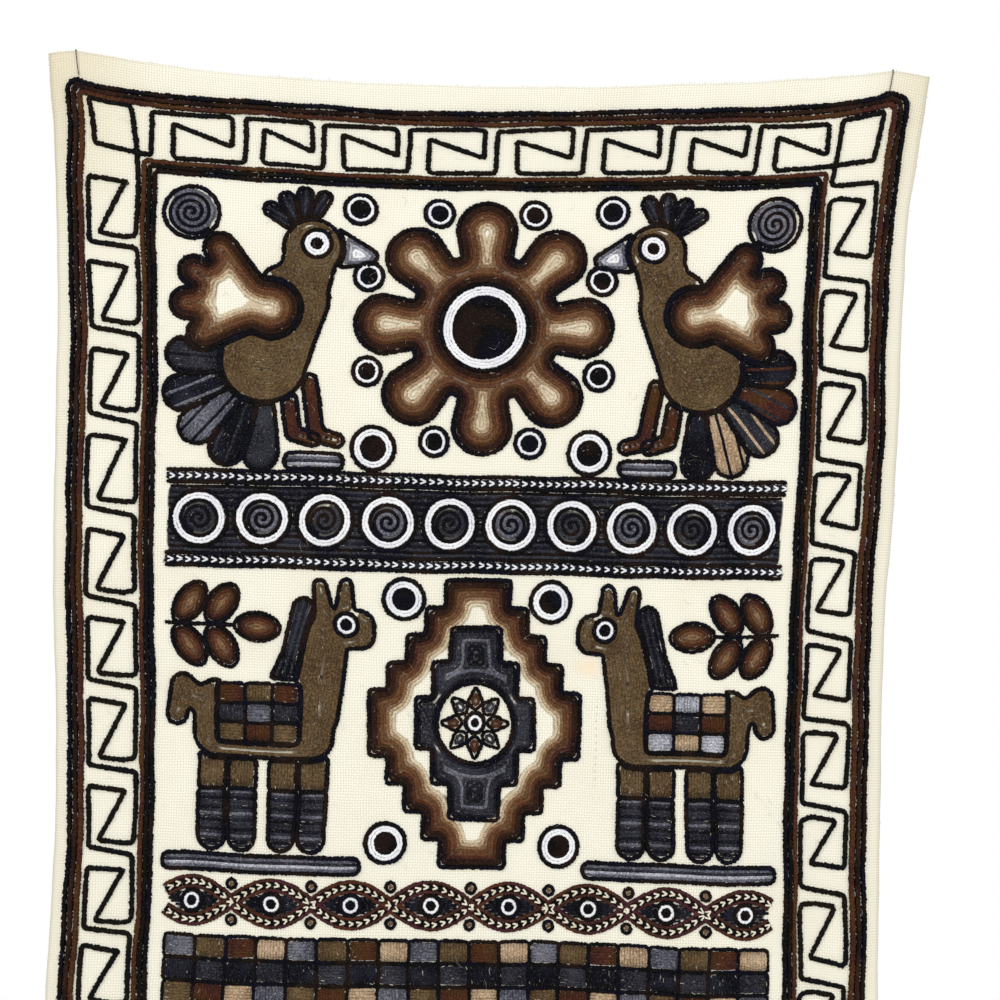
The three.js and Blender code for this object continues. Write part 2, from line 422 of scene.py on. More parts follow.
# %% Yarn tones: the usual one, two that it drifts to, how tufted it is, and its share of hairs
Yarn = namedtuple("Yarn", "tone second third tufts hairs slot")
PALE_HAIR = colour(150, 143, 132)
YARNS = {
    "black": Yarn(colour(13, 12, 14), colour(14, 14, 27), colour(33, 22, 18), 0.45, 0.10, "yarn_black"),
    "soot": Yarn(colour(18, 17, 13), colour(13, 13, 18), colour(27, 19, 15), 0.45, 0.10, "yarn_black"),
    "ink": Yarn(colour(19, 20, 30), colour(11, 12, 16), colour(36, 36, 46), 0.6, 0.26, "yarn_black"),
    "espresso": Yarn(colour(42, 26, 20), colour(26, 18, 16), colour(50, 31, 24), 0.55, 0.10, "yarn_rust"),
    "russet": Yarn(colour(62, 36, 30), colour(80, 44, 29), colour(68, 35, 43), 0.55, 0.12, "yarn_rust"),
    "rust": Yarn(colour(72, 42, 27), colour(62, 33, 31), colour(72, 48, 25), 0.5, 0.10, "yarn_rust"),
    "umber": Yarn(colour(95, 62, 41), colour(82, 55, 38), colour(104, 74, 50), 0.5, 0.14, "yarn_brown"),
    "brown": Yarn(colour(90, 72, 49), colour(80, 62, 42), colour(98, 80, 56), 0.65, 0.20, "yarn_brown"),
    "clay": Yarn(colour(122, 93, 66), colour(112, 84, 58), colour(134, 106, 78), 0.5, 0.12, "yarn_brown"),
    "tan": Yarn(colour(174, 149, 121), colour(158, 132, 105), colour(186, 162, 135), 0.5, 0.10, "yarn_tan"),
    "charcoal": Yarn(colour(42, 42, 50), colour(30, 30, 38), colour(55, 55, 63), 0.75, 0.40, "yarn_charcoal"),
    "steel": Yarn(colour(92, 92, 102), colour(76, 76, 87), colour(110, 110, 120), 0.8, 0.3, "yarn_grey"),
    "silver": Yarn(
        colour(165, 165, 174), colour(148, 148, 159), colour(180, 180, 188),
        0.6, 0.1, "yarn_pale_grey",
    ),
    "sand": Yarn(colour(206, 190, 160), colour(196, 178, 148), colour(216, 202, 174), 0.35, 0.0, "yarn_tan"),
    "cream": Yarn(
        colour(238, 230, 206), colour(230, 221, 196), colour(242, 236, 216),
        0.12, 0.0, "yarn_white",
    ),
    "white": Yarn(
        colour(241, 241, 244), colour(234, 234, 238), colour(246, 246, 248),
        0.10, 0.0, "yarn_white",
    ),
}
DRIFT_SCALE = 38.0
FELT_SCALE = 780.0
TWIST_LENGTH = 1.9
TWIST_DEPTH = 0.00012
FIBRE_DEPTH = 0.00010
FELT_DEPTH = 0.00022

# %% The yarn materials


def tinted(tone, factor):
    """A tone made lighter or darker."""
    return tuple(min(value * factor, 0.95) for value in tone[:3]) + (1.0,)


def yarn_paint(yarn):
    def paint(wire):
        place = wire.node("ShaderNodeTexCoord", {}, {}, "Object")
        along, across, row = wire.attribute("stitch").axes()
        drift = wire.noise(place, DRIFT_SCALE, 1.0)
        base = drift.step(0.50, 0.62).between(yarn.tone, yarn.second)
        base = drift.step(0.48, 0.38).between(base, yarn.third)
        felt = wire.noise(place, FELT_SCALE, 2.0)
        base = (felt.step(0.50, 0.33) * yarn.tufts).between(base, tinted(yarn.tone, 0.35))
        base = (felt.step(0.50, 0.68) * yarn.tufts).between(base, tinted(yarn.tone, 2.2))
        fibre = wire.noise(wire.vector(along * 0.9, across * 2.6, row * 91.7), 1.0, 3.0)
        base = (fibre.step(0.52, 0.32) * 0.3).between(base, tinted(yarn.tone, 0.5))
        speck = wire.noise(place, 1100.0, 1.0)
        base = (speck.step(0.62, 0.74) * yarn.hairs).between(base, PALE_HAIR)
        twist = (along * (2 * math.pi / TWIST_LENGTH) + across * 1.6).sine()
        return base, twist * TWIST_DEPTH + fibre * FIBRE_DEPTH + felt * FELT_DEPTH

    return paint


finishes = {name: finish("yarn_" + name, 0.95, 0.06, yarn_paint(yarn)) for name, yarn in YARNS.items()}
print("yarn materials:", len(finishes))

# %% [markdown]
# ## The cloth
# The ground is a plain weave of cream wool, thick enough to show its threads: over one, under
# one, with small dark gaps at the corners, which are painted shade. Where the side edges curl
# away it is painted a little darker and yellower, as painted shade, and the top corners are
# painted darker still: painted shade where they curl, with a tan tint. The pattern follows the
# flat cloth through an attribute called flat, the flat place of each point in millimetres, so it
# bends with every fold. A second one, worked, tells where yarn covers the cloth and what tone it
# has there, which shows between the rows and through to the back.

# %% The cloth material
WEAVE_PITCH = 1.87
# How strong the painted shade in the weave's gaps is.
WEAVE_GAP_SHADE = 0.42
WEAVE_DEPTH = 0.00007
CLOTH_TONE = colour(243, 239, 222)
CLOTH_SHADE = colour(236, 230, 210)
# A little darker and yellower: painted shade where the side edges curl away.
CLOTH_CURL_SHADE = colour(243, 237, 215)
# A dark tone: painted shade in the weave's gaps, and the dashes of the mend.
WEAVE_SHADE_AND_MEND_TONE = colour(150, 146, 128)
# A darker tan for the top corners: painted shade where they curl, with a tan tint.
CLOTH_CORNER_TINT_AND_SHADE = colour(222, 211, 183)
# Each top corner is painted darker: painted shade where it curls, with a tan tint. Its columns:
# where this starts and is full across, where it starts in height, how strong.
CORNER_TINTS_AND_SHADE = ((-200.0, -300.0, -170.0, 0.90), (240.0, 300.0, -110.0, 0.65))
STAIN = {"across": 79.0, "down": 416.0, "width": 13.0, "height": 9.0, "tone": colour(240, 220, 190)}
MEND = {"across": 88.0, "from_down": 436.0, "to_down": 502.0}


def cloth_paint(wire):
    across, height, layer = wire.attribute("flat").axes()
    warp = across * (math.pi / WEAVE_PITCH)
    weft = height * (math.pi / WEAVE_PITCH)
    wobble = wire.noise(wire.attribute("flat"), 0.05, 2.0)
    warp = warp + wobble * 5.0
    weft = weft + wobble * 4.0
    over = (warp.sine() * weft.sine()).step(-0.3, 0.3)
    warp_round = warp.sine() * warp.sine()
    weft_round = weft.sine() * weft.sine()
    threads = over * warp_round + (1 - over) * weft_round
    gap = (warp_round + weft_round).step(0.95, 0.10)
    slub = wire.noise(wire.vector(across * 0.10, height * 0.45), 1.0, 1.0)
    mottle = wire.noise(wire.attribute("flat"), 0.018, 3.0)
    fuzz = wire.noise(wire.attribute("flat"), 0.9, 3.0)
    base = (mottle.step(0.42, 0.70) * 0.45).between(CLOTH_TONE, CLOTH_SHADE)
    base = (slub.step(0.55, 0.80) * 0.25).between(base, CLOTH_SHADE)
    # Near the side edges, where the cloth curls away: painted shade, a little darker and yellower.
    edge = across.maths("ABSOLUTE").step(262.0, 300.0)
    base = (edge * 0.60).between(base, CLOTH_CURL_SHADE)
    # The top corners: painted shade where they curl, with a tan tint.
    for near, far, foot, amount in CORNER_TINTS_AND_SHADE:
        corner_tint_and_shade = across.step(near, far) * height.step(foot, 10.0) * amount
        base = corner_tint_and_shade.between(base, CLOTH_CORNER_TINT_AND_SHADE)
    # Painted shade in the weave's gaps between the threads, and a little on the threads that lie over.
    base = (gap * WEAVE_GAP_SHADE + over * 0.06).between(base, WEAVE_SHADE_AND_MEND_TONE)
    base = (fuzz.step(0.60, 0.80) * 0.25).between(base, CLOTH_TONE)
    away_x = (across - STAIN["across"]) * (1 / STAIN["width"])
    away_y = (height + STAIN["down"]) * (1 / STAIN["height"])
    ragged = (away_x * away_x + away_y * away_y).maths("SQRT") + (mottle - 0.5) * 1.2
    base = (ragged.step(1.1, 0.3) * 0.7).between(base, STAIN["tone"])
    beside = (across - MEND["across"] + (wobble - 0.5) * 2.0).maths("ABSOLUTE").step(0.9, 0.3)
    inside = (height + MEND["to_down"]).step(0.0, 6.0) * (height + MEND["from_down"]).step(0.0, -6.0)
    dashes = (height * (2 * math.pi / 5.0)).sine().step(0.1, 0.6)
    base = (beside * inside * dashes * 0.35).between(base, WEAVE_SHADE_AND_MEND_TONE)
    worked = wire.node("ShaderNodeAttribute", {"attribute_name": "worked"}, {}, "Color")
    cover = wire.node("ShaderNodeAttribute", {"attribute_name": "worked"}, {}, "Alpha")
    behind = layer.step(0.0, -0.1)
    shown = cover.step(0.36, 0.62) * (1 - behind) * 0.9 + cover.step(0.25, 0.8) * behind * 0.8
    base = shown.between(base, worked)
    return base, threads * WEAVE_DEPTH + fuzz * 0.00008


finishes["cloth"] = finish("wool_cloth", 0.95, 0.12, cloth_paint)
print("cloth material ready")

# %% [markdown]
# The hanging threads are fine dark cotton, made of plies twisted together. The frame already
# holds them in the right shape, so they only need a finish. Object coordinates serve here: a
# slanted wave in height and width reads as the twist on a thread that runs up and down. The
# wave also paints the crests of the plies lighter and their grooves darker: painted light and
# shade.

# %% The hanging threads' material
PLY_LENGTH = 0.0014


def thread_paint(wire):
    place = wire.node("ShaderNodeTexCoord", {}, {}, "Object")
    x, y, z = place.axes()
    ply = ((z + x * 0.8 + y * 0.8) * (2 * math.pi / PLY_LENGTH)).sine()
    fibre = wire.noise(place, 2600.0, 2.0)
    # The plies' crests lighter and their grooves darker: painted light and shade of the twist.
    base = (ply.step(-0.6, 0.8) * 0.6).between(colour(34, 28, 24), colour(82, 72, 60))
    base = (fibre.step(0.60, 0.72) * 0.3).between(base, PALE_HAIR)
    return base, ply * 0.00010 + fibre * 0.00004


finishes["thread"] = finish("hanging_thread", 0.8, 0.1, thread_paint)
for name in ("hanging_thread_left", "hanging_thread_right"):
    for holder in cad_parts[name].material_slots:
        holder.material = finishes["thread"]
print("threads finished")

# %% [markdown]
# ## Shapes as distances
# Each motif is first drawn as a region of the flat cloth. A region is a function that gives any
# point its distance to the outline in millimetres, negative inside. Distances suit this
# embroidery, because its rows of yarn follow an outline inwards, each one row further in. They
# also join and cut with a plain minimum or maximum, where outlines would need clipping.

# %% Simple regions


def disc(x, y, radius):
    return lambda X, Y: np.hypot(X - x, Y - y) - radius


def block(x, y, width, height, corner=0.0):
    """A rounded rectangle centred on (x, y)."""
    def distance(X, Y):
        dx = np.abs(X - x) - width / 2 + corner
        dy = np.abs(Y - y) - height / 2 + corner
        outside = np.hypot(np.maximum(dx, 0), np.maximum(dy, 0))
        return outside + np.minimum(np.maximum(dx, dy), 0) - corner

    return distance


def bar(points, start, end=None):
    """A bent bar through points. Its half width runs evenly from start to end."""
    end = start if end is None else end
    places = np.array(points, float)
    lengths = np.hypot(*np.diff(places, axis=0).T)
    marks = np.concatenate([[0], np.cumsum(lengths)]) / lengths.sum()

    def distance(X, Y):
        best = np.full(np.shape(X), np.inf)
        for (ax, ay), (bx, by), low, high in zip(places[:-1], places[1:], marks[:-1], marks[1:]):
            run = (bx - ax) ** 2 + (by - ay) ** 2
            t = np.clip(((X - ax) * (bx - ax) + (Y - ay) * (by - ay)) / run, 0, 1)
            away = np.hypot(X - ax - t * (bx - ax), Y - ay - t * (by - ay))
            best = np.minimum(best, away - start - (end - start) * (low + (high - low) * t))
        return best

    return distance


def patch(loops, corner=0.0):
    """The inside of closed outlines, given as lists of points. A loop inside another is a hole."""
    def distance(X, Y):
        near = np.full(np.shape(X), np.inf)
        crossed = np.zeros(np.shape(X), bool)
        for loop in loops:
            loop = np.asarray(loop, float)
            for (ax, ay), (bx, by) in zip(loop, np.roll(loop, -1, axis=0)):
                run = max((bx - ax) ** 2 + (by - ay) ** 2, 1e-9)
                t = np.clip(((X - ax) * (bx - ax) + (Y - ay) * (by - ay)) / run, 0, 1)
                near = np.minimum(near, (X - ax - t * (bx - ax)) ** 2 + (Y - ay - t * (by - ay)) ** 2)
                if ay != by:
                    reach = ax + (Y - ay) * (bx - ax) / (by - ay)
                    crossed ^= ((ay > Y) != (by > Y)) & (X < reach)
        return np.where(crossed, -1, 1) * np.sqrt(near) - corner

    return distance


# %% Joining, cutting and moving regions


def join(*regions):
    return lambda X, Y: np.minimum.reduce([region(X, Y) for region in regions])


def both(*regions):
    return lambda X, Y: np.maximum.reduce([region(X, Y) for region in regions])


def cut(region, *holes):
    return lambda X, Y: np.maximum.reduce([region(X, Y)] + [-hole(X, Y) for hole in holes])


def grow(region, by):
    return lambda X, Y: region(X, Y) - by


# %% [markdown]
# ## From a region to lines of yarn
# A row of yarn lies where the distance has one value, as a height line lies on a map. The
# region is measured on a one-millimetre grid, and marching squares finds where a level crosses
# the grid's edges and joins the crossings into lines.

# %% Measuring a region on a grid
GRID = 1.0


def sampled(region, box):
    """The grid's x and y values inside box, and the region's distance at each grid point."""
    x0, y0, x1, y1 = box
    xs = np.arange(x0, x1 + GRID, GRID)
    ys = np.arange(y0, y1 + GRID, GRID)
    X, Y = np.meshgrid(xs, ys)
    return xs, ys, region(X, Y)


# %% Marching squares


def crossings(field, level):
    """Where a level crosses each grid edge, and which crossings share a grid square."""
    xs, ys, values = field
    inside = values < level
    points, links = {}, {}

    def crossing(r, c, upright):
        key = (r, c, upright)
        here = values[r, c]
        there = values[r + 1, c] if upright else values[r, c + 1]
        t = GRID * (level - here) / (there - here)
        points[key] = (xs[c], ys[r] + t) if upright else (xs[c] + t, ys[r])
        return key

    count = inside[:-1, :-1].astype(int) + inside[1:, :-1] + inside[:-1, 1:] + inside[1:, 1:]
    for r, c in np.argwhere((count > 0) & (count < 4)):
        ring = (inside[r, c], inside[r, c + 1], inside[r + 1, c + 1], inside[r + 1, c])
        edges = ((r, c, False), (r, c + 1, True), (r + 1, c, False), (r, c, True))
        cut_edges = [edges[k] for k in range(4) if ring[k] != ring[(k + 1) % 4]]
        keys = [crossing(*edge) for edge in cut_edges]
        for a, b in zip(keys[::2], keys[1::2]):
            links.setdefault(a, []).append(b)
            links.setdefault(b, []).append(a)
    return points, links


def traced(field, level):
    """The closed lines along which a sampled field crosses a level."""
    points, links = crossings(field, level)
    lines = []
    while links:
        here = next(iter(links))
        line = []
        while links.get(here):
            line.append(here)
            there = links[here].pop()
            links[there].remove(here)
            if not links[here]:
                del links[here]
            here = there
        links.pop(here, None)
        lines.append(np.array([points[key] for key in line]))
    return lines


# %% Lines with even steps and soft corners


def measured(points, closed):
    """The line with its first point repeated if it is closed, and the length up to each point."""
    ring = np.vstack([points, points[:1]]) if closed else np.asarray(points, float)
    gaps = np.hypot(*np.diff(ring, axis=0).T)
    return ring, np.concatenate([[0], np.cumsum(gaps)])


def even(points, closed, step):
    """The same line with evenly spaced points."""
    ring, marks = measured(points, closed)
    count = max(int(round(marks[-1] / step)), 3 if closed else 1)
    at = np.linspace(0, marks[-1], count + 1)
    at = at[:-1] if closed else at
    return np.column_stack([np.interp(at, marks, ring[:, k]) for k in (0, 1)])


def eased(points, closed, times=2):
    """Corners softened, as a thick yarn turns them."""
    for _ in range(times):
        if closed:
            points = (np.roll(points, 1, 0) + 2 * points + np.roll(points, -1, 0)) / 4
        elif len(points) > 2:
            middle = (points[:-2] + 2 * points[1:-1] + points[2:]) / 4
            points = np.vstack([points[:1], middle, points[-1:]])
    return points


def length_of(points, closed=False):
    return float(measured(points, closed)[1][-1])


square_loop = traced(sampled(block(0, 0, 20, 20), (-15, -15, 15, 15)), -2.0)
print("a row inside a 20 mm square is", round(length_of(square_loop[0], True), 1), "mm long")

# %% [markdown]
# ## Rows of yarn
# Nothing is turned into a mesh yet. Sewing only notes each row down: its yarn, its line on the
# flat cloth, whether it closes on itself, its width and how high it lies. Outlines are a thick
# yarn, and fillings are thin rows side by side. A motif is sewn round the middle of the cloth,
# and its rows are then carried to their place, mirrored where the design is.

# %% Noting rows down
Row = namedtuple("Row", "yarn points closed width lift group")
LINE = 3.3
FILL = 2.1
TRACE_STEP = 1.5
SHORTEST = 4.0
hand = np.random.default_rng(11)
sewn = []


def sew(yarn, points, closed=False, width=LINE, lift=0.0, group=None):
    group = group or ("line" if width > 2.5 else "fill")
    sewn.append(Row(yarn, np.asarray(points, float), closed, width, lift, group))


def carry(first, x, y, flip=False, scale=1.0, turn=0.0):
    """Moves the rows noted since first to their place."""
    c, s = math.cos(math.radians(turn)), math.sin(math.radians(turn))
    side_sign = -1.0 if flip else 1.0
    for k in range(first, len(sewn)):
        points = sewn[k].points * scale
        turned_x = (points[:, 0] * c - points[:, 1] * s) * side_sign + x
        turned_y = points[:, 0] * s + points[:, 1] * c + y
        sewn[k] = sewn[k]._replace(points=np.column_stack([turned_x, turned_y]))


# %% Working a region: its outline, then rows that follow it inwards


def settled(region, box, line, width):
    """Sews a region's outline, and remakes the region from it so that its depths are even."""
    loops = [even(loop, True, TRACE_STEP) for loop in traced(sampled(region, box), 0.0)]
    loops = [eased(loop, True) for loop in loops if length_of(loop, True) > SHORTEST]
    for loop in loops if line else []:
        sew(line, loop, True, width)
    return patch([even(loop, True, 2.4) for loop in loops])


def worked(region, box, rows=(), rest=None, line="black", width=LINE, fill=FILL):
    """Outlines a region, works the given yarns inwards, and fills what is left with rest."""
    field = sampled(settled(region, box, line, width), box)
    depth = (width if line else 0) / 2 + fill * 0.45
    deepest = -float(field[2].min())
    yarns = list(rows)
    while depth < deepest:
        yarn = yarns.pop(0) if yarns else rest
        if yarn is None:
            break
        for loop in traced(field, -depth):
            if length_of(loop, True) > SHORTEST:
                sew(yarn, eased(even(loop, True, TRACE_STEP), True, 1), True, fill)
        depth += fill
    if not yarns and rest and deepest - depth > -fill * 0.6:
        for loop in traced(field, -deepest + 0.35):
            sew(rest, even(loop, True, TRACE_STEP), True, fill)


# %% Straight rows, for colour blocks, stripes and feathers


def hatched(region, box, yarns, turn=0.0, line="black", width=LINE, fill=FILL):
    """Outlines a region and fills it with straight rows, turned by degrees."""
    shape = settled(region, box, line, width)
    x0, y0, x1, y1 = box
    c, s = math.cos(math.radians(turn)), math.sin(math.radians(turn))
    middle_x, middle_y = (x0 + x1) / 2, (y0 + y1) / 2
    half = math.hypot(x1 - x0, y1 - y0) / 2
    along = np.arange(-half, half, 0.5)
    for k in range(int(2 * half / fill)):
        across = -half + k * fill
        X = middle_x + along * c - across * s
        Y = middle_y + along * s + across * c
        inside = (shape(X, Y) < -(width if line else 0) * 0.35).astype(int)
        edges = np.flatnonzero(np.diff(np.concatenate([[0], inside, [0]])))
        for a, b in zip(edges[::2], edges[1::2]):
            if b - a > 4:
                sew(yarns[k % len(yarns)], [(X[a], Y[a]), (X[b - 1], Y[b - 1])], False, fill)


# %% Rings, coils, V stitches and ropes


def ring(x, y, radius, yarn, width=FILL):
    t = np.linspace(0, 2 * math.pi, max(12, int(radius * 3)), endpoint=False)
    sew(yarn, np.column_stack([x + radius * np.cos(t), y + radius * np.sin(t)]), True, width)


def coil(x, y, radius, yarn, pitch=2.6, start=0.0, width=FILL):
    """A spiral worked from the middle out."""
    t = np.linspace(0.2, radius / pitch, int(24 * radius / pitch))
    angle = start + 2 * math.pi * t
    sew(yarn, np.column_stack([x + pitch * t * np.cos(angle), y + pitch * t * np.sin(angle)]), False, width)


def slope_of(points):
    slope = np.gradient(np.asarray(points, float), axis=0)
    return slope / np.hypot(*slope.T)[:, None]


def beside(points, away):
    """A line moved sideways: to its left for a positive distance."""
    slope = slope_of(points)
    return points + away * np.column_stack([-slope[:, 1], slope[:, 0]])


def chevrons(points, yarn, spread=1.65, pitch=6.0, length=3.6, width=1.95, lift=0.9):
    """V stitches that follow a line, on top of what is there, each a little out of true."""
    line = even(points, False, pitch)[1:]
    for (x, y), (u, v) in zip(line, slope_of(line)):
        x, y = x + hand.normal(0.0, 0.22), y + hand.normal(0.0, 0.22)
        reach = length * hand.uniform(0.82, 1.12)
        for way in (1, -1):
            wing = (x - reach * u - way * spread * v, y - reach * v + way * spread * u)
            sew(yarn, [wing, (x, y)], False, width, lift, "stitch")


def rope(points, edge="russet", heart="black", tie="cream"):
    """A plaited rope: two edge rows, a dark heart and pale V stitches over it."""
    for away in (1.1, -1.1):
        sew(heart, beside(points, away), False, 2.3)
    for away in (3.4, -3.4):
        sew(edge, beside(points, away), False, 2.7)
    chevrons(points, tie)

# %% [markdown]
# ## The border
# Three rows run round the outside, two dark and one rust, and three round the inside. Between
# them one black yarn draws a running fret: it walks up the left side, over the top, down the
# right side and back along the bottom without a break. The second half of its way is the first
# half turned upside down. The units are spaced by eye, so no two are quite alike, and the
# rows crowd together at the top corners, where the threads pull.

# %% Where the border lies
HALF_WORK = 288.0
WORK_TOP = -19.2
WORK_BOTTOM = -894.0
MIDDLE = (WORK_TOP + WORK_BOTTOM) / 2
BANDS = (
    ("black", 2.1, 4.05, 5.5),
    ("espresso", 6.1, 4.15, 4.5),
    ("rust", 10.1, 4.1, 3.5),
    ("rust", 52.4, 3.8, 2.5),
    ("soot", 55.95, 3.85, 2.5),
    ("black", 59.4, 3.75, 2.5),
)
GATHER = 0.40
GATHER_REACH = 30.0


def band(yarn, inset, width, corner, number):
    """One closed row round the hanging, inset from the edge of the work, drawn by hand."""
    x = HALF_WORK - inset - corner
    top, bottom = WORK_TOP - inset - corner, WORK_BOTTOM + inset + corner
    points = []
    for turn, (cx, cy) in enumerate(((x, top), (-x, top), (-x, bottom), (x, bottom))):
        for angle in np.radians(np.linspace(90 * turn, 90 * turn + 90, 6)):
            points.append((cx + corner * math.cos(angle), cy + corner * math.sin(angle)))
    line = even(points, True, TRACE_STEP)
    marks = np.arange(len(line)) * TRACE_STEP
    drift = 0.20 * np.sin(marks / 17.0 + 2.1 * number) + 0.15 * np.sin(marks / 7.3 + number)
    line = beside(line, drift[:, None])
    away = np.hypot(np.abs(line[:, 0]) - HALF_WORK, 0.6 * (line[:, 1] - WORK_TOP))
    line[:, 1] += GATHER * inset * np.exp(-away / GATHER_REACH)
    sew(yarn, line, True, width, group="band")


for number, (yarn, inset, width, corner) in enumerate(BANDS):
    band(yarn, inset, width, corner, number)
border_length = sum(length_of(row.points, True) for row in sewn)
print("border rows:", len(sewn), "length in m:", round(border_length / 1000, 1))

# %% The running fret
FRET_OUT = 272.9
FRET_IN = 240.1
FRET_DEEP = FRET_OUT - FRET_IN
FRET_TOP = -33.9
FRET_LOW = -66.9
FRET_WIDTH = 3.7
FIRST_UNIT = -83.2
LEFT_PITCHES = (59, 61.5, 60.5, 65.5, 60.5, 56.5, 60, 57, 55, 56, 56, 56)
RIGHT_PITCHES = (52.5, 53, 52.5, 53, 67, 56, 61, 59.5, 60, 58.5, 64, 65)
TOP_START = -231.5
TOP_PITCHES = (63, 54, 59, 61, 60.5, 60, 60.5, 55)


def side_unit(low, link):
    """One unit on its way up: (depth, down), from 0 to 1 between the lines and the pitches."""
    bridge = [(1, link + 0.07), (0.95, link + 0.04), (0.03, link - 0.04), (0, link - 0.07)]
    tongue = [(0, 0.03), (0.05, 0), (0.79, 0.055), (0.76, 0.075), (0.24, low - 0.03), (0.25, low)]
    return bridge + tongue + [(0.75, low + 0.035), (0.96, low + 0.02), (1, low - 0.03)]


# A top unit as (along in pitches, depth), from one upright line to the next.
TOP_UNIT = (
    (0.02, 0.01), (0.83, 0), (0.87, 0.04), (0.865, 0.65), (0.24, 0.235), (0.23, 0.92), (0.27, 0.99),
    (0.97, 1), (1, 0.95),
)


def fret_half(pitches, low, link):
    tops = FIRST_UNIT - np.concatenate([[0], np.cumsum(pitches)])
    points = []
    for top, pitch in reversed(list(zip(tops, (*pitches, pitches[-1])))):
        points += [(-FRET_OUT + u * FRET_DEEP, top - v * pitch) for u, v in side_unit(low, link)]
    points += [(-FRET_IN + 0.7, -86.6), (-FRET_IN - 0.8, -61.3), (-FRET_IN - 4.0, -33)]
    points += [(-FRET_IN - 5.4, -30.4), (-FRET_OUT + 1.6, -29.7), (-FRET_OUT + 0.6, -30.7)]
    points += [(-FRET_OUT + 3.8, -60.0), (TOP_START, -64.2)]
    start = TOP_START
    for k, pitch in enumerate(TOP_PITCHES):
        unit = TOP_UNIT if k < len(TOP_PITCHES) - 1 else TOP_UNIT[:-2]
        points += [(start + u * pitch, FRET_TOP - v * (FRET_TOP - FRET_LOW)) for u, v in unit]
        start += pitch
    points = np.array(points) + hand.normal(0.0, 0.35, (len(points), 2))
    return points.tolist() + [(FRET_OUT - 4.5, -62), (FRET_OUT - 2, -30.5), (FRET_IN + 3.5, -33)]


first_half = np.array(fret_half(LEFT_PITCHES, 0.67, 0.80))
second_half = np.array(fret_half(RIGHT_PITCHES, 0.60, 0.76))
second_half[:4, 1] += (1.5, 1.5, -4.0, -4.0)
fret_points = np.vstack([first_half, np.array([0.0, 2 * MIDDLE]) - second_half])
fret_line = eased(even(fret_points, True, 0.9), True, 1)
sew("soot", fret_line, True, FRET_WIDTH, group="fret")
print("the fret is one yarn", round(length_of(fret_line, True) / 1000, 2), "m long")

# %% [markdown]
# ## The motifs
# Inside the border the design is set out in registers, mirrored left and right: birds beside a
# rosette, a row of coils, llamas beside a stepped diamond, two twined ropes, a band of colour
# blocks, and fish beside a plant. The shapes are worked as on the rest of such cloths: a thick
# dark outline, rows that pass from nearly black through rust and brown to tan round a bare
# heart, plain brown bodies, and small parts in greys and white.

# %% Runs of tones, from the outline inwards
EARTH = ("espresso", "espresso", "rust", "umber", "umber", "clay", "tan", "sand")
SHORT_EARTH = ("espresso", "rust", "umber", "clay", "tan")
FIELD_HALF = 224.0
FIELD_TOP = WORK_TOP - 62.5


def around(x, y, half_width, half_height=None, margin=5):
    """A box round a place, for measuring a region."""
    reach_x = half_width + margin
    reach_y = (half_width if half_height is None else half_height) + margin
    return (x - reach_x, y - reach_y, x + reach_x, y + reach_y)


def ringed(x, y, radius, white_rows=2, heart="black", line="black"):
    """A round eye or disc: an outline, white rings, and a filled heart."""
    if line:
        ring(x, y, radius, line, LINE)
    depth = radius - 2.7
    for _ in range(white_rows):
        ring(x, y, depth, "white", 2.6)
        depth -= 2.1
    while depth > 1.5:
        ring(x, y, depth, heart, 2.3)
        depth -= 2.1
    ring(x, y, 1.2, heart, 2.9)


def placed(draw, x, y, flip=False, scale=1.0, turn=0.0):
    first = len(sewn)
    draw()
    carry(first, x, y, flip, scale, turn)


# %% The rosette
PETALS = 8


def rosette(radius):
    petals = []
    for k in range(PETALS):
        u, v = math.cos(2 * math.pi * k / PETALS), math.sin(2 * math.pi * k / PETALS)
        near, far = radius * 0.42, radius * 0.77
        petals.append(bar([(near * u, near * v), (far * u, far * v)], radius * 0.16, radius * 0.23))
    flower = cut(join(disc(0, 0, radius * 0.58), *petals), disc(0, 0, radius * 0.34))
    worked(flower, around(0, 0, radius), EARTH)
    ringed(0, 0, radius * 0.34, 3, line=None)
    for k in range(PETALS):
        angle = math.pi * (2 * k + 1) / PETALS
        ringed(radius * 0.98 * math.cos(angle), radius * 0.98 * math.sin(angle), 10.0, 1)


# %% A bird
FEATHER_TIPS = ((-66, -20), (-68, -48), (-56, -72), (-34, -87), (-9, -90))
WING_TIPS = ((-40, 60), (-58, 42), (-64, 18), (-52, -4))
CREST_TIPS = ((-4, 92), (7, 100), (20, 104), (34, 102))


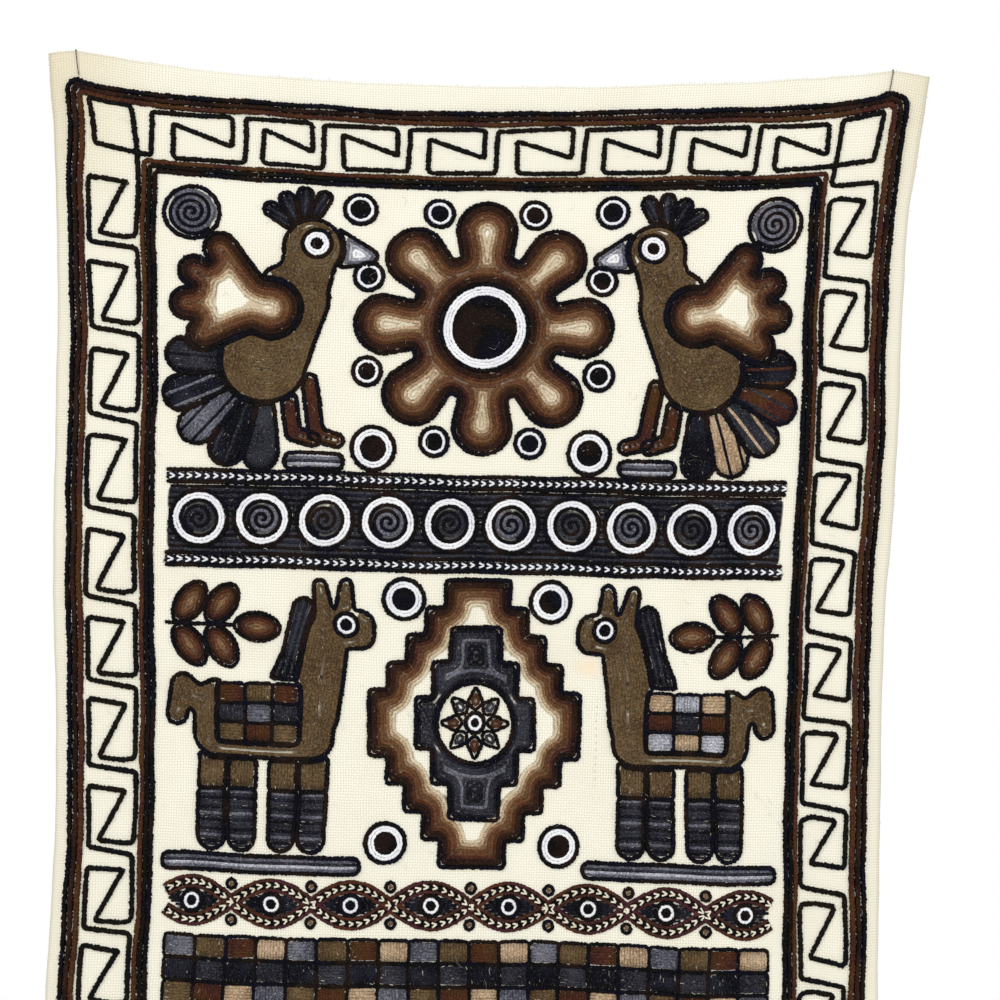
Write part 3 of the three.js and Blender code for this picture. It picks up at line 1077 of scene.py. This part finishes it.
def bird(tones):
    trunk = join(bar([(-8, -22), (12, 24)], 31, 27), bar([(16, 24), (26, 58)], 20, 18), disc(27, 64, 21))
    wing = join(disc(-3, 17, 21), *[bar([(-3, 17), tip], 9, 11.5) for tip in WING_TIPS])
    feathers = [bar([(-12, -22), tip], 7, 13) for tip in FEATHER_TIPS]
    for k, (feather, tip) in enumerate(zip(feathers, FEATHER_TIPS)):
        above = [grow(other, 1.0) for other in feathers[:k]]
        shape = cut(feather, grow(trunk, 1.5), grow(wing, 1.5), *above)
        lean = math.degrees(math.atan2(tip[1] + 22, tip[0] + 12))
        tone = tones[k % len(tones)]
        hatched(shape, (-90, -112, 20, 20), (tone, tone, tone, tone, tones[(k + 1) % len(tones)]), lean)
    worked(cut(trunk, grow(wing, 1.7), disc(30, 67, 10.5)), (-60, -75, 60, 95), (), "brown")
    worked(wing, (-90, -40, 35, 85), EARTH)
    ringed(30, 67, 10.5, 2, line=None)
    beak = cut(patch([[(40, 80), (72, 60), (70, 53), (38, 50)]], 1.5), grow(trunk, 1.7))
    worked(beak, (30, 40, 84, 92), ("steel", "silver"), "white")
    for tip in CREST_TIPS:
        crest = cut(bar([(20 + (tip[0] - 20) * 0.3, 78), tip], 2.6, 5.4), grow(trunk, 1.7))
        lean = math.degrees(math.atan2(tip[1] - 78, tip[0] - 20))
        hatched(crest, (-20, 60, 50, 118), ("ink", "charcoal"), lean)
    for x in (14, 31):
        leg = join(bar([(x - 6, -36), (x, -74)], 5.4), bar([(x, -76), (x + 15, -80)], 5.0))
        worked(cut(leg, grow(trunk, 1.7)), (-25, -94, 60, -10), ("rust",), "rust")


# %% A llama with a chequered saddle cloth
LEG_PLACES = (-35, -14, 14, 35)


def chequered(x, y, width, height, columns, rows, tones):
    """A grid of colour blocks, worked row by row with their stitches turned by turns."""
    for i in range(columns):
        for j in range(rows):
            cx = x + (i - (columns - 1) / 2) * width
            cy = y + (j - (rows - 1) / 2) * height
            shape = block(cx, cy, width, height, 1.2)
            tone = tones[(2 * i + 3 * j) % len(tones)]
            hatched(shape, around(cx, cy, width / 2, height / 2, 3), (tone,), 90 * ((i + j) % 2), width=2.7)


def llama(tones):
    trunk = join(
        block(0, 2, 96, 52, 15),
        bar([(34, 6), (44, 60)], 17, 14),
        block(55, 65, 42, 26, 10),
        bar([(42, 72), (38, 94)], 7, 4.2),
        bar([(56, 74), (56, 95)], 7, 4.2),
        bar([(-44, 12), (-57, 24), (-60, 4)], 8, 7),
    )
    mane = cut(bar([(12, 26), (21, 46), (27, 78)], 9, 7), grow(trunk, 1.5))
    hatched(mane, (-20, 10, 50, 100), ("ink", "charcoal"), 74)
    worked(cut(trunk, block(-4, 6, 58, 42, 3), disc(57, 68, 8)), (-80, -40, 90, 112), (), "brown")
    ringed(57, 68, 8, 1, line=None)
    for x in LEG_PLACES:
        leg = cut(bar([(x, -14), (x, -78)], 9.6, 9.2), grow(trunk, 1.7))
        box = (x - 15, -96, x + 15, -8)
        hatched(both(leg, lambda X, Y: -46.0 - Y), box, ("brown",), 90)
        sock = ("charcoal", "ink", "charcoal", "steel", "charcoal", "ink", "charcoal")
        hatched(both(leg, lambda X, Y: Y + 46.0), box, sock)
    chequered(-4, 6, 18.6, 13.2, 3, 3, tones)


# %% A leaf, a branch of leaves, a curl


def leaf(length, half_width, rows, rest=None, line="black"):
    """A pointed leaf that grows along +x from the middle."""
    t = np.linspace(0, math.pi, 14)
    upper = [(length * (1 - math.cos(a)) / 2, half_width * math.sin(a) ** 1.2) for a in t]
    lower = [(x, -y) for x, y in reversed(upper[1:-1])]
    worked(patch([upper + lower], 0.5), around(length / 2, 0, length / 2, half_width), rows, rest, line, 2.8)


def branch(length, leaves, size, rows, rest=None):
    """A stem along +x with leaves on both sides and one at the tip."""
    sew("black", even([(0, 0), (length, 0)], False, TRACE_STEP), False, 3.0)
    for k in range(leaves):
        for way in (1, -1):
            stalk = length * (k + 0.35) / (leaves + 0.15)
            placed(lambda: leaf(size, size * 0.29, rows, rest), stalk, way * 1.5, turn=way * 56)
    placed(lambda: leaf(size, size * 0.30, rows, rest), length, 0)


def curled(radius, tone="charcoal", margin=0.0):
    """A spiral of two yarns, in an outlined disc."""
    ring(0, 0, radius, "black", LINE)
    for yarn, start in ((tone, 0.0), ("black", math.pi)):
        coil(0, 0, radius - 2.6 - margin, yarn, 4.7, start, 2.45)


# %% A stepped diamond with a star


def stepped_loop(width, height, steps, top_width):
    """The outline of a diamond whose four sides go in steps."""
    corner = []
    for k in range(steps):
        x = (top_width + (width - top_width) * k / (steps - 1)) / 2
        y = (height - (height - top_width) * k / (steps - 1)) / 2
        corner.append((x, y))
        if k < steps - 1:
            corner.append((x, (height - (height - top_width) * (k + 1) / (steps - 1)) / 2))
    right = corner + [(x, -y) for x, y in reversed(corner)]
    return right + [(-x, y) for x, y in reversed(right)]


def star(radius, heart, tones):
    for k in range(8):
        angle, half = math.radians(45 * k), math.radians(21)
        points = [(heart, angle), (radius * 0.6, angle - half), (radius, angle), (radius * 0.6, angle + half)]
        kite = patch([[(r * math.cos(a), r * math.sin(a)) for r, a in points]], 0.4)
        worked(kite, around(0, 0, radius), (), tones[k % len(tones)], width=2.6)


def diamond(width, height):
    worked(patch([stepped_loop(width, height, 5, 44)], 1.0), around(0, 0, width / 2, height / 2), EARTH)
    inner = cut(patch([stepped_loop(width - 66, height - 66, 3, 34)], 1.0), disc(0, 0, 28))
    greys = ("ink", "charcoal", "charcoal", "steel", "charcoal")
    worked(inner, around(0, 0, width / 2, height / 2), greys, "ink")
    star(25, 9, ("rust", "charcoal"))
    ringed(0, 0, 7.0, 1)


# %% Bands: coils between V lines, and twined ropes


def banded(y, half, yarn="white"):
    """Two dark rows with a line of V stitches between them."""
    points = even([(-half, y), (half, y)], False, TRACE_STEP)
    for away in (4.2, -4.2):
        sew("black", beside(points, away), False, 3.1)
    for away in (1.2, -1.2):
        sew("ink", beside(points, away), False, 2.4)
    chevrons(points, yarn)


COIL_RADIUS = 19.5


def coil_band(y, count, pitch):
    """Coils in discs, on a dark ground of straight rows."""
    places = [(k - (count - 1) / 2) * pitch for k in range(count)]
    ground = cut(block(0, y, 2 * FIELD_HALF - 14, 47, 2), *[disc(x, y, COIL_RADIUS - 0.6) for x in places])
    rows = ("ink", "charcoal", "black", "charcoal")
    hatched(ground, (-FIELD_HALF, y - 30, FIELD_HALF, y + 30), rows, line=None)
    for k, x in enumerate(places):
        tone = "steel" if k % 2 else "charcoal"
        for depth in (2.7, 4.8):
            ring(x, y, COIL_RADIUS - depth, "white", 2.6)
        ring(x, y, COIL_RADIUS - 7.0, "black", 2.4)
        placed(lambda: curled(COIL_RADIUS, tone, 6.6), x, y, flip=k >= count / 2)


ROPE_WAVE = 18.0


def twined(y, half, height):
    across = np.linspace(-half, half, 420)
    for start in (0.0, math.pi):
        rope(np.column_stack([across, y + height * np.sin(across / ROPE_WAVE + start)]))
    beads = [math.pi * ROPE_WAVE * (k + 0.5) for k in range(-4, 4)]
    lens = lambda X, Y: np.abs(Y - y) + 5.4 - height * np.abs(np.sin(X / ROPE_WAVE))
    hatched(cut(lens, *[disc(x, y, 7.0) for x in beads]), (-half, y - 14, half, y + 14), ("ink",), line=None)
    for x in beads:
        ringed(x, y, 7.4, 1)
    for x in (math.pi * ROPE_WAVE * k for k in range(-3, 4)):
        for way in (12.5, -12.5):
            ring(x, y + way, 3.3, "black", 2.6)
            ring(x, y + way, 1.0, "clay", 2.4)


# %% A fish and a plant


def fish(tones):
    trunk = join(bar([(-34, 0), (6, 0), (40, 0)], 15, 27), disc(30, 0, 28), bar([(-34, 0), (-40, 0)], 13, 13))
    head = both(trunk, disc(52, 0, 31))
    body = cut(trunk, grow(disc(52, 0, 31), 1.2))
    hatched(body, (-65, -40, 75, 40), [tone for tone in tones for _ in range(4)] + ["black"], 90)
    worked(cut(head, disc(44, 8, 9)), (10, -40, 80, 40), ("umber",), "brown")
    ringed(44, 8, 9, 2, line=None)
    for way in (1, -1):
        tail = cut(bar([(-46, 0), (-70, way * 20)], 7, 12), grow(trunk, 1.4))
        if way < 0:
            tail = cut(tail, grow(bar([(-46, 0), (-70, 20)], 7, 12), 1.2))
        worked(tail, (-95, -45, -25, 45), SHORT_EARTH)
        fin = cut(bar([(-10, way * 22), (-26, way * 36)], 11, 6), grow(trunk, 1.4))
        worked(fin, (-45, -50, 20, 50), ("charcoal", "steel"), "silver")


def plant():
    pot = patch([[(-34, -74), (34, -74), (26, -34), (-26, -34)]], 1.0)
    hatched(pot, (-40, -80, 40, -28), ("rust",) * 5 + ("black",) + ("tan",) * 3 + ("black",), 0)
    sew("black", even([(0, -34), (0, 44)], False, TRACE_STEP), False, 3.6)
    for k, (height, turn) in enumerate(((-22, 18), (4, 36), (28, 54))):
        for way in (1, -1):
            placed(lambda: leaf(64 - 7 * k, 16 - k, SHORT_EARTH), way * 1.5, height, flip=way < 0, turn=turn)
    placed(lambda: leaf(44, 14, SHORT_EARTH), 0, 42, turn=90)


# %% Setting out the field


def pair(draw, x, y, scale=1.0, turn=0.0):
    """Sews a motif twice: on the left, and mirrored on the right. draw is told the side."""
    for flip in (False, True):
        placed(lambda: draw(flip), x if flip else -x, y, flip, scale, turn)


def row_a(y):
    placed(lambda: rosette(90), 0, y + 4)
    tones = (("charcoal", "ink", "steel", "ink", "charcoal"), ("ink", "rust", "charcoal", "tan", "ink"))
    pair(lambda flip: bird(tones[flip]), 146, y - 3, 0.95)
    pair(lambda flip: ringed(0, 0, 15, 2), 77, y - 84)
    pair(lambda flip: curled(18.5, "steel"), 203, y + 79)
    pair(lambda flip: ringed(0, 0, 11, 1), 88, y + 87)
    ground = lambda flip: hatched(block(0, 0, 40, 11, 4), (-24, -8, 24, 8), ("charcoal", "steel", "silver"))
    pair(ground, 118, y - 94)


def row_c(y):
    placed(lambda: diamond(150, 198), 0, y)
    tones = (("brown", "steel", "rust", "charcoal"), ("silver", "charcoal", "tan", "rust"))
    pair(lambda flip: llama(tones[flip]), 150, y - 2, 1.02)
    pair(lambda flip: branch(48, 2, 32, SHORT_EARTH, "tan"), 219, y + 66, turn=-2)
    pair(lambda flip: ringed(0, 0, 14, 2), 52, y + 86)
    pair(lambda flip: ringed(0, 0, 14, 2), 62, y - 84)
    ground = lambda flip: hatched(block(0, 0, 140, 11, 4), (-74, -9, 74, 9), ("charcoal", "steel", "silver"))
    pair(ground, 150, y - 100)


def row_e(y):
    placed(plant, 0, y, scale=1.05)
    tones = (("tan", "rust", "umber", "silver"), ("steel", "charcoal", "silver", "rust"))
    pair(lambda flip: fish(tones[flip]), 142, y + 42, 0.93)
    pair(lambda flip: fish(tones[not flip]), 142, y - 42, 0.93)


row_a(FIELD_TOP - 102)
banded(FIELD_TOP - 208, FIELD_HALF - 5)
coil_band(FIELD_TOP - 237, 10, 43.4)
banded(FIELD_TOP - 266, FIELD_HALF - 5)
row_c(FIELD_TOP - 376)
twined(FIELD_TOP - 503, FIELD_HALF - 7, 13)
mixed = ("brown", "charcoal", "rust", "ink", "tan", "charcoal", "steel", "ink")
chequered(0, FIELD_TOP - 551, 21.6, 16, 20, 3, mixed)
row_e(FIELD_TOP - 666)
print("rows of yarn:", len(sewn))


# %% [markdown]
# ## Yarn that can be touched
# A noted row becomes a tube. A curve with a bevel object does this best: the curve gives the
# way, a small flat outline gives the yarn's cross-section, and each point's radius lets the
# yarn swell and narrow with its stitches. The outline yarn is worked in chain stitch, so it
# swells once a stitch. The mesh is taken from the curve, its ends are filled, the stitch
# attribute is written, and the whole is hung like the cloth.

# %% Cross-sections, in half widths
SECTIONS = {
    "thick": ((-1.0, -0.25), (-0.52, 0.78), (0.52, 0.78), (1.0, -0.25)),
    "thin": ((-1.12, -0.25), (-0.93, 0.52), (0.93, 0.52), (1.12, -0.25)),
    "stitch": ((-1.0, -0.25), (-0.5, 0.8), (0.5, 0.8), (1.0, -0.25)),
    "back": ((1.0, 0.25), (0.0, -0.90), (-1.0, 0.25)),
    "hair": ((-0.87, -0.5), (0.0, 1.0), (0.87, -0.5)),
}
RNG = np.random.default_rng(23)
HALF_THICK = CLOTH_THICKNESS / 2


def section_object(name):
    data = bpy.data.curves.new("section_" + name, "CURVE")
    data.dimensions = "2D"
    spline = data.splines.new("POLY")
    spline.points.add(len(SECTIONS[name]) - 1)
    for point, (x, y) in zip(spline.points, SECTIONS[name]):
        point.co = (x, y, 0.0, 1.0)
    spline.use_cyclic_u = True
    made = bpy.data.objects.new("section_" + name, data)
    scene.collection.objects.link(made)
    return made


sections = {name: section_object(name) for name in SECTIONS}

# %% From strands to one closed mesh
Strand = namedtuple("Strand", "places radii number")


def tubes(name, strands, section):
    """The plain mesh of many strands, one ring of vertices for each of their points."""
    data = bpy.data.curves.new(name, "CURVE")
    data.dimensions = "3D"
    data.twist_mode = "Z_UP"
    data.bevel_mode = "OBJECT"
    data.bevel_object = sections[section]
    for strand in strands:
        count = len(strand.places)
        spline = data.splines.new("POLY")
        spline.points.add(count - 1)
        spline.points.foreach_set("co", np.column_stack([strand.places * MM, np.ones(count)]).ravel())
        spline.points.foreach_set("radius", strand.radii * MM)
    holder = bpy.data.objects.new(name, data)
    scene.collection.objects.link(holder)
    graph = bpy.context.evaluated_depsgraph_get()
    mesh = bpy.data.meshes.new_from_object(holder.evaluated_get(graph))
    bpy.data.objects.remove(holder)
    bpy.data.curves.remove(data)
    return mesh


def note_stitches(mesh, strands, section):
    """Writes the stitch attribute: along, across and the row's number, ring by ring."""
    around_count = len(SECTIONS[section])
    values = []
    for strand in strands:
        gaps = np.linalg.norm(np.diff(strand.places, axis=0), axis=1)
        along = np.concatenate([[0], np.cumsum(gaps)]) + strand.number * 40.0
        rings = np.repeat(along, around_count)
        across = np.tile([x for x, _ in SECTIONS[section]], len(along))
        values.append(np.column_stack([rings, across, np.full(len(rings), strand.number)]))
    stitch = mesh.attributes.new("stitch", "FLOAT_VECTOR", "POINT")
    stitch.data.foreach_set("vector", np.vstack(values).astype(np.float32).ravel())


def make_strands(name, strands, section, finish_name):
    """Makes, closes and hangs one piece of many strands."""
    mesh = tubes(name, strands, section)
    note_stitches(mesh, strands, section)
    bm = bmesh.new()
    bm.from_mesh(mesh)
    bmesh.ops.holes_fill(bm, edges=[edge for edge in bm.edges if edge.is_boundary], sides=0)
    bm.to_mesh(mesh)
    bm.free()
    hang_mesh(mesh)
    mesh.shade_smooth()
    mesh.materials.clear()
    mesh.materials.append(finishes[finish_name])
    piece = bpy.data.objects.new(name, mesh)
    scene.collection.objects.link(piece)
    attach(piece, "root")
    return sum(len(polygon.vertices) - 2 for polygon in mesh.polygons)


# %% [markdown]
# A hand drifts as it sews. The drift is a slow wave over the cloth, the same for neighbouring
# rows, so they stay side by side. On top of it each row has a small unevenness of its own, in
# its way and in its width, and its ends are drawn in where the yarn goes through the cloth.

# %% From noted rows to strands
THICK_STEP = 1.3
THIN_STEP = 2.5
STRAIGHT_STEP = 6.0
SEAT = 0.25
SPREAD = 1.04


def wander(points):
    x, y = points.T
    shift_x = 0.50 * np.sin(y / 29 + x / 71) + 0.35 * np.sin(y / 11.3 - x / 17 + 2.0)
    shift_y = 0.35 * np.sin(x / 27 - y / 63 + 1.0) + 0.25 * np.sin(x / 10.7 + y / 15.1)
    near_top = np.clip(1 + y / 240, 0, 1)
    near_corner = np.exp((y + 20) / 25) * np.clip((-x - 200) / 60, 0, 1)
    near_right = np.exp(-np.hypot(x - 276, y + 21) / 24)
    shift_y += near_top * (0.0045 * x - 1.2 * np.cos(2 * math.pi * (x + 16) / 235)) + 1.8 * near_right
    shift_x += 1.0 * near_right - 1.8 * near_corner
    return points + np.column_stack([shift_x, shift_y])


def strand_of(row):
    """A row's strand on the face of the cloth. A closed row's end runs over its start."""
    thick = row.group not in ("fill", "stitch")
    step = THICK_STEP if thick else THIN_STEP if len(row.points) > 2 else STRAIGHT_STEP
    line = even(row.points, row.closed, step)
    if row.closed:
        line = np.vstack([line, line[:2]])
    line = wander(line)
    count = len(line)
    line = line + RNG.normal(0.0, 0.16 if thick else 0.07, (count, 2))
    swell = 0.11 * np.cos(np.pi * np.arange(count)) if thick else 0.0
    radii = row.width / 2 * SPREAD * (1 + swell + RNG.normal(0.0, 0.10 if thick else 0.035, count))
    radii[[0, -1]] *= 0.72
    height = HALF_THICK + (SEAT - 0.04) * row.width / 2 + row.lift + RNG.normal(0.0, 0.03, count)
    return Strand(np.column_stack([line, height]), radii, RNG.uniform(0.0, 100.0))


# %% The yarn on the face
MOST_STEPS = {"thick": 18000, "thin": 20000, "stitch": 15000}
groups = {}
for row in sewn:
    groups.setdefault((row.yarn, row.group), []).append(strand_of(row))

triangles = 0
for (yarn, group), strands in groups.items():
    section = {"fill": "thin", "stitch": "stitch"}.get(group, "thick")
    batch, steps, part = [], 0, 1
    for number, strand in enumerate(strands):
        batch.append(strand)
        steps += len(strand.places)
        if steps > MOST_STEPS[section] or number == len(strands) - 1:
            name = "_".join(("yarn", yarn, group, str(part)))
            triangles += make_strands(name, batch, section, yarn)
            batch, steps, part = [], 0, part + 1

# %% [markdown]
# ## The back of the work
# On the back a chain stitch shows as short straight stitches, one behind another. Each is a
# three-sided strand of one step, a little shorter than its stitch and not quite in line.

# %% The stitches on the back
BACK_STITCH = {"thick": 6.0, "thin": 10.5}
BACK_WIDTH = {"thick": 2.3, "thin": 1.5}


def back_strands(row):
    kind = "thick" if row.width > 2.5 else "thin"
    line = wander(even(row.points, row.closed, BACK_STITCH[kind]))
    ends = np.roll(line, -1, axis=0) if row.closed else line[1:]
    starts = line if row.closed else line[:-1]
    made = []
    for start, end in zip(starts, ends):
        run = end - start
        askew = RNG.normal(0.0, 0.22, 2)
        places = np.array([start + 0.05 * run + askew, end - 0.10 * run - askew])
        height = -HALF_THICK - 0.15 + RNG.normal(0.0, 0.04)
        radii = BACK_WIDTH[kind] / 2 * RNG.uniform(0.85, 1.1, 2)
        made.append(Strand(np.column_stack([places, [height, height]]), radii, RNG.uniform(0.0, 100.0)))
    return made


behind = {}
for row in sewn:
    if row.group != "stitch":
        behind.setdefault(row.yarn, []).extend(back_strands(row))
back_triangles = 0
for yarn, strands in behind.items():
    back_triangles += make_strands("back_" + yarn, strands, "back", yarn)
print("back stitches:", sum(len(strands) for strands in behind.values()), "triangles:", back_triangles)

# %% [markdown]
# ## Hairs, ends and flecks
# Wool cut across its weave frays: short ends stand out all round the cloth. Single pale hairs
# cross the dark yarn, and flecks of the cream ground show beside the thick rows.

# %% Frayed ends round the edge


def hair(start, lean, length, radius, height, bend):
    """A fine hair that starts at a point and leans by an angle, with two bends on its way."""
    t = np.linspace(0.0, 1.0, 3)
    angle = lean + bend * t
    x = start[0] + length * t * np.cos(angle)
    y = start[1] + length * t * np.sin(angle)
    radii = radius * np.array([1.0, 0.8, 0.4])
    return Strand(np.column_stack([x, y, height * np.ones(3)]), radii, RNG.uniform(0.0, 100.0))


FRAY_GAP = 1.27
EDGES = (
    ((-300.0, 0.0), (600.0, 0.0), 90.0),
    ((-300.0, -914.0), (600.0, 0.0), -90.0),
    ((-300.0, -914.0), (0.0, 914.0), 180.0),
    ((300.0, -914.0), (0.0, 914.0), 0.0),
)
EDGE_WAVES = ((0.32, 37.0), (0.26, 13.7), (0.15, 6.1))


def edge_shift(along):
    """How far a hand-cut edge strays from a straight one."""
    return sum(height * np.sin(along / length + 7.0 * height) for height, length in EDGE_WAVES)


def fray(start, run, out):
    made = []
    length = math.hypot(*run)
    for k in range(int(length / FRAY_GAP)):
        if RNG.random() < 0.25:
            continue
        t = (k + RNG.uniform(0.2, 0.8)) * FRAY_GAP / length
        x, y = start[0] + t * run[0], start[1] + t * run[1]
        u, v = math.cos(math.radians(out)), math.sin(math.radians(out))
        shift = edge_shift(t * length) - 0.4
        lean = math.radians(out) + RNG.normal(0.0, 0.5)
        reach = 0.8 + RNG.exponential(0.5)
        place = (x + u * shift, y + v * shift)
        made.append(hair(place, lean, min(reach, 5.0), 0.2, RNG.uniform(-0.4, 0.4), RNG.normal(0.0, 0.7)))
    return made


ends = [strand for start, run, out in EDGES for strand in fray(start, run, out)]
made_count = make_strands("frayed_edge", ends, "hair", "cream")
print("frayed ends:", len(ends), "triangles:", made_count)

# %% Pale flecks beside the dark rows, and loose hairs over the face
DARK = ("black", "ink", "espresso", "rust", "umber", "brown", "charcoal", "steel")
FLECK_GAP = 62.0
BAND_FLECK_GAP = 18.0
flecks = {"cream": [], "silver": []}
for row in sewn:
    if row.yarn not in DARK or row.group == "stitch":
        continue
    line = wander(even(row.points, row.closed, 1.0))
    if len(line) < 6:
        continue
    for _ in range(RNG.poisson(len(line) / (FLECK_GAP if row.group != "band" else BAND_FLECK_GAP))):
        k = int(RNG.integers(0, len(line) - 4))
        run = line[k + 3] - line[k]
        away = RNG.choice((-1.0, 1.0)) * row.width * RNG.uniform(0.38, 0.5)
        start = line[k] + away * np.array([-run[1], run[0]]) / max(np.hypot(*run), 0.1)
        height = HALF_THICK + row.width * 0.28
        lean = math.atan2(run[1], run[0]) + RNG.normal(0.0, 0.12)
        size, radius, bend = RNG.uniform(1.6, 3.6), RNG.uniform(0.22, 0.36), RNG.normal(0.0, 0.2)
        fleck = hair(start, lean, size, radius, height, bend)
        # Beside the border bands the flecks are silver, greyer than the cream ground: painted shade between
        # the rows.
        flecks["silver" if row.group == "band" else "cream"].append(fleck)
for yarn, made in flecks.items():
    made_count = make_strands("flecks_" + yarn, made, "hair", yarn)
    print("flecks:", len(made), "triangles:", made_count)

LOOSE_HAIRS = 420
loose = []
for _ in range(LOOSE_HAIRS):
    start = (RNG.uniform(-285, 285), RNG.uniform(-895, -8))
    size = RNG.uniform(3.0, 9.0)
    lean, height, bend = RNG.uniform(0, 2 * math.pi), RNG.uniform(0.2, 2.2), RNG.normal(0, 1.2)
    loose.append(hair(start, lean, size, 0.09, HALF_THICK + height, bend))
made_count = make_strands("loose_hairs", loose, "hair", "cream")
print("loose hairs:", len(loose), "triangles:", made_count)

for holder in sections.values():
    bpy.data.objects.remove(holder)

# %% [markdown]
# ## The cloth
# The cloth is one closed sheet: a fine grid, given its thickness while it is flat, and then
# hung. Its edges are cut by hand, so they waver. Before it bends, every point notes its flat
# place for the weave, and how much yarn covers it and of which tone.

# %% How much yarn covers each place, on a coarse grid of cells
CELL = 2.0
CELLS = (int(CLOTH_WIDTH / CELL), int(CLOTH_LENGTH / CELL))


def coverage():
    """For each cell of the flat cloth, its yarn's mean tone and how much of it is covered."""
    total = np.zeros((CELLS[0] + 2, CELLS[1] + 2, 4))
    for row in sewn:
        if row.group != "fill":
            continue
        points = wander(even(row.points, row.closed, 1.0))
        column = np.clip(((points[:, 0] + CLOTH_WIDTH / 2) / CELL).astype(int), 0, CELLS[0])
        line = np.clip((-points[:, 1] / CELL).astype(int), 0, CELLS[1])
        amount = row.width / CELL ** 2
        np.add.at(total, (column, line), [amount * value for value in YARNS[row.yarn].tone[:3]] + [amount])
    spread = total.copy()
    for axis in (0, 1):
        spread = (np.roll(spread, 1, axis) + 2 * spread + np.roll(spread, -1, axis)) / 4
    spread[..., :3] /= np.maximum(spread[..., 3:], 0.01)
    return spread


cover = coverage()
print("share of the cloth that yarn covers:", round(float((cover[..., 3] > 0.6).mean()), 2))

# %% The sheet
CLOTH_CELLS = (134, 204)


def flat_sheet():
    bm = bmesh.new()
    bmesh.ops.create_grid(bm, x_segments=CLOTH_CELLS[0], y_segments=CLOTH_CELLS[1], size=0.5)
    bmesh.ops.scale(bm, vec=(CLOTH_WIDTH * MM, CLOTH_LENGTH * MM, 1.0), verts=bm.verts)
    bmesh.ops.translate(bm, vec=(0.0, -CLOTH_LENGTH * MM / 2, -HALF_THICK * MM), verts=bm.verts)
    bmesh.ops.solidify(bm, geom=bm.faces[:], thickness=-CLOTH_THICKNESS * MM)
    bmesh.ops.recalc_face_normals(bm, faces=bm.faces)
    mesh = bpy.data.meshes.new("embroidered_cloth")
    bm.to_mesh(mesh)
    print("sheet volume in cubic cm:", round(bm.calc_volume(signed=True) * 1e6, 1))
    bm.free()
    return mesh


cloth_mesh = flat_sheet()
places = np.empty(len(cloth_mesh.vertices) * 3, np.float32)
cloth_mesh.vertices.foreach_get("co", places)
places = places.reshape(-1, 3) / MM
print("flat sheet in mm:", places.min(axis=0).round(2), places.max(axis=0).round(2))

# %% Its attributes and its wavering edge
columns = np.clip(((places[:, 0] + CLOTH_WIDTH / 2) / CELL).astype(int), 0, CELLS[0])
lines = np.clip((-places[:, 1] / CELL).astype(int), 0, CELLS[1])
flat_note = cloth_mesh.attributes.new("flat", "FLOAT_VECTOR", "POINT")
flat_note.data.foreach_set("vector", places.ravel())
worked_note = cloth_mesh.attributes.new("worked", "FLOAT_COLOR", "POINT")
worked_note.data.foreach_set("color", cover[columns, lines].astype(np.float32).ravel())

near_side = np.clip((np.abs(places[:, 0]) - 288) / 12, 0, 1)
near_top = np.clip((12 + places[:, 1]) / 12, 0, 1)
near_foot = np.clip((-places[:, 1] - 902) / 12, 0, 1)
side_shift = near_side * np.sign(places[:, 0]) * edge_shift(places[:, 1] + 914)
end_shift = (near_top - near_foot) * edge_shift(places[:, 0] + 300)
places[:, 0] += side_shift
places[:, 1] += end_shift
cloth_mesh.vertices.foreach_set("co", (places * MM).ravel())
hang_mesh(cloth_mesh)
cloth_mesh.shade_smooth()
cloth_mesh.materials.append(finishes["cloth"])
cloth = bpy.data.objects.new("embroidered_cloth", cloth_mesh)
scene.collection.objects.link(cloth)
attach(cloth, "root")
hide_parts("cloth")
print("cloth triangles:", sum(len(polygon.vertices) - 2 for polygon in cloth_mesh.polygons))
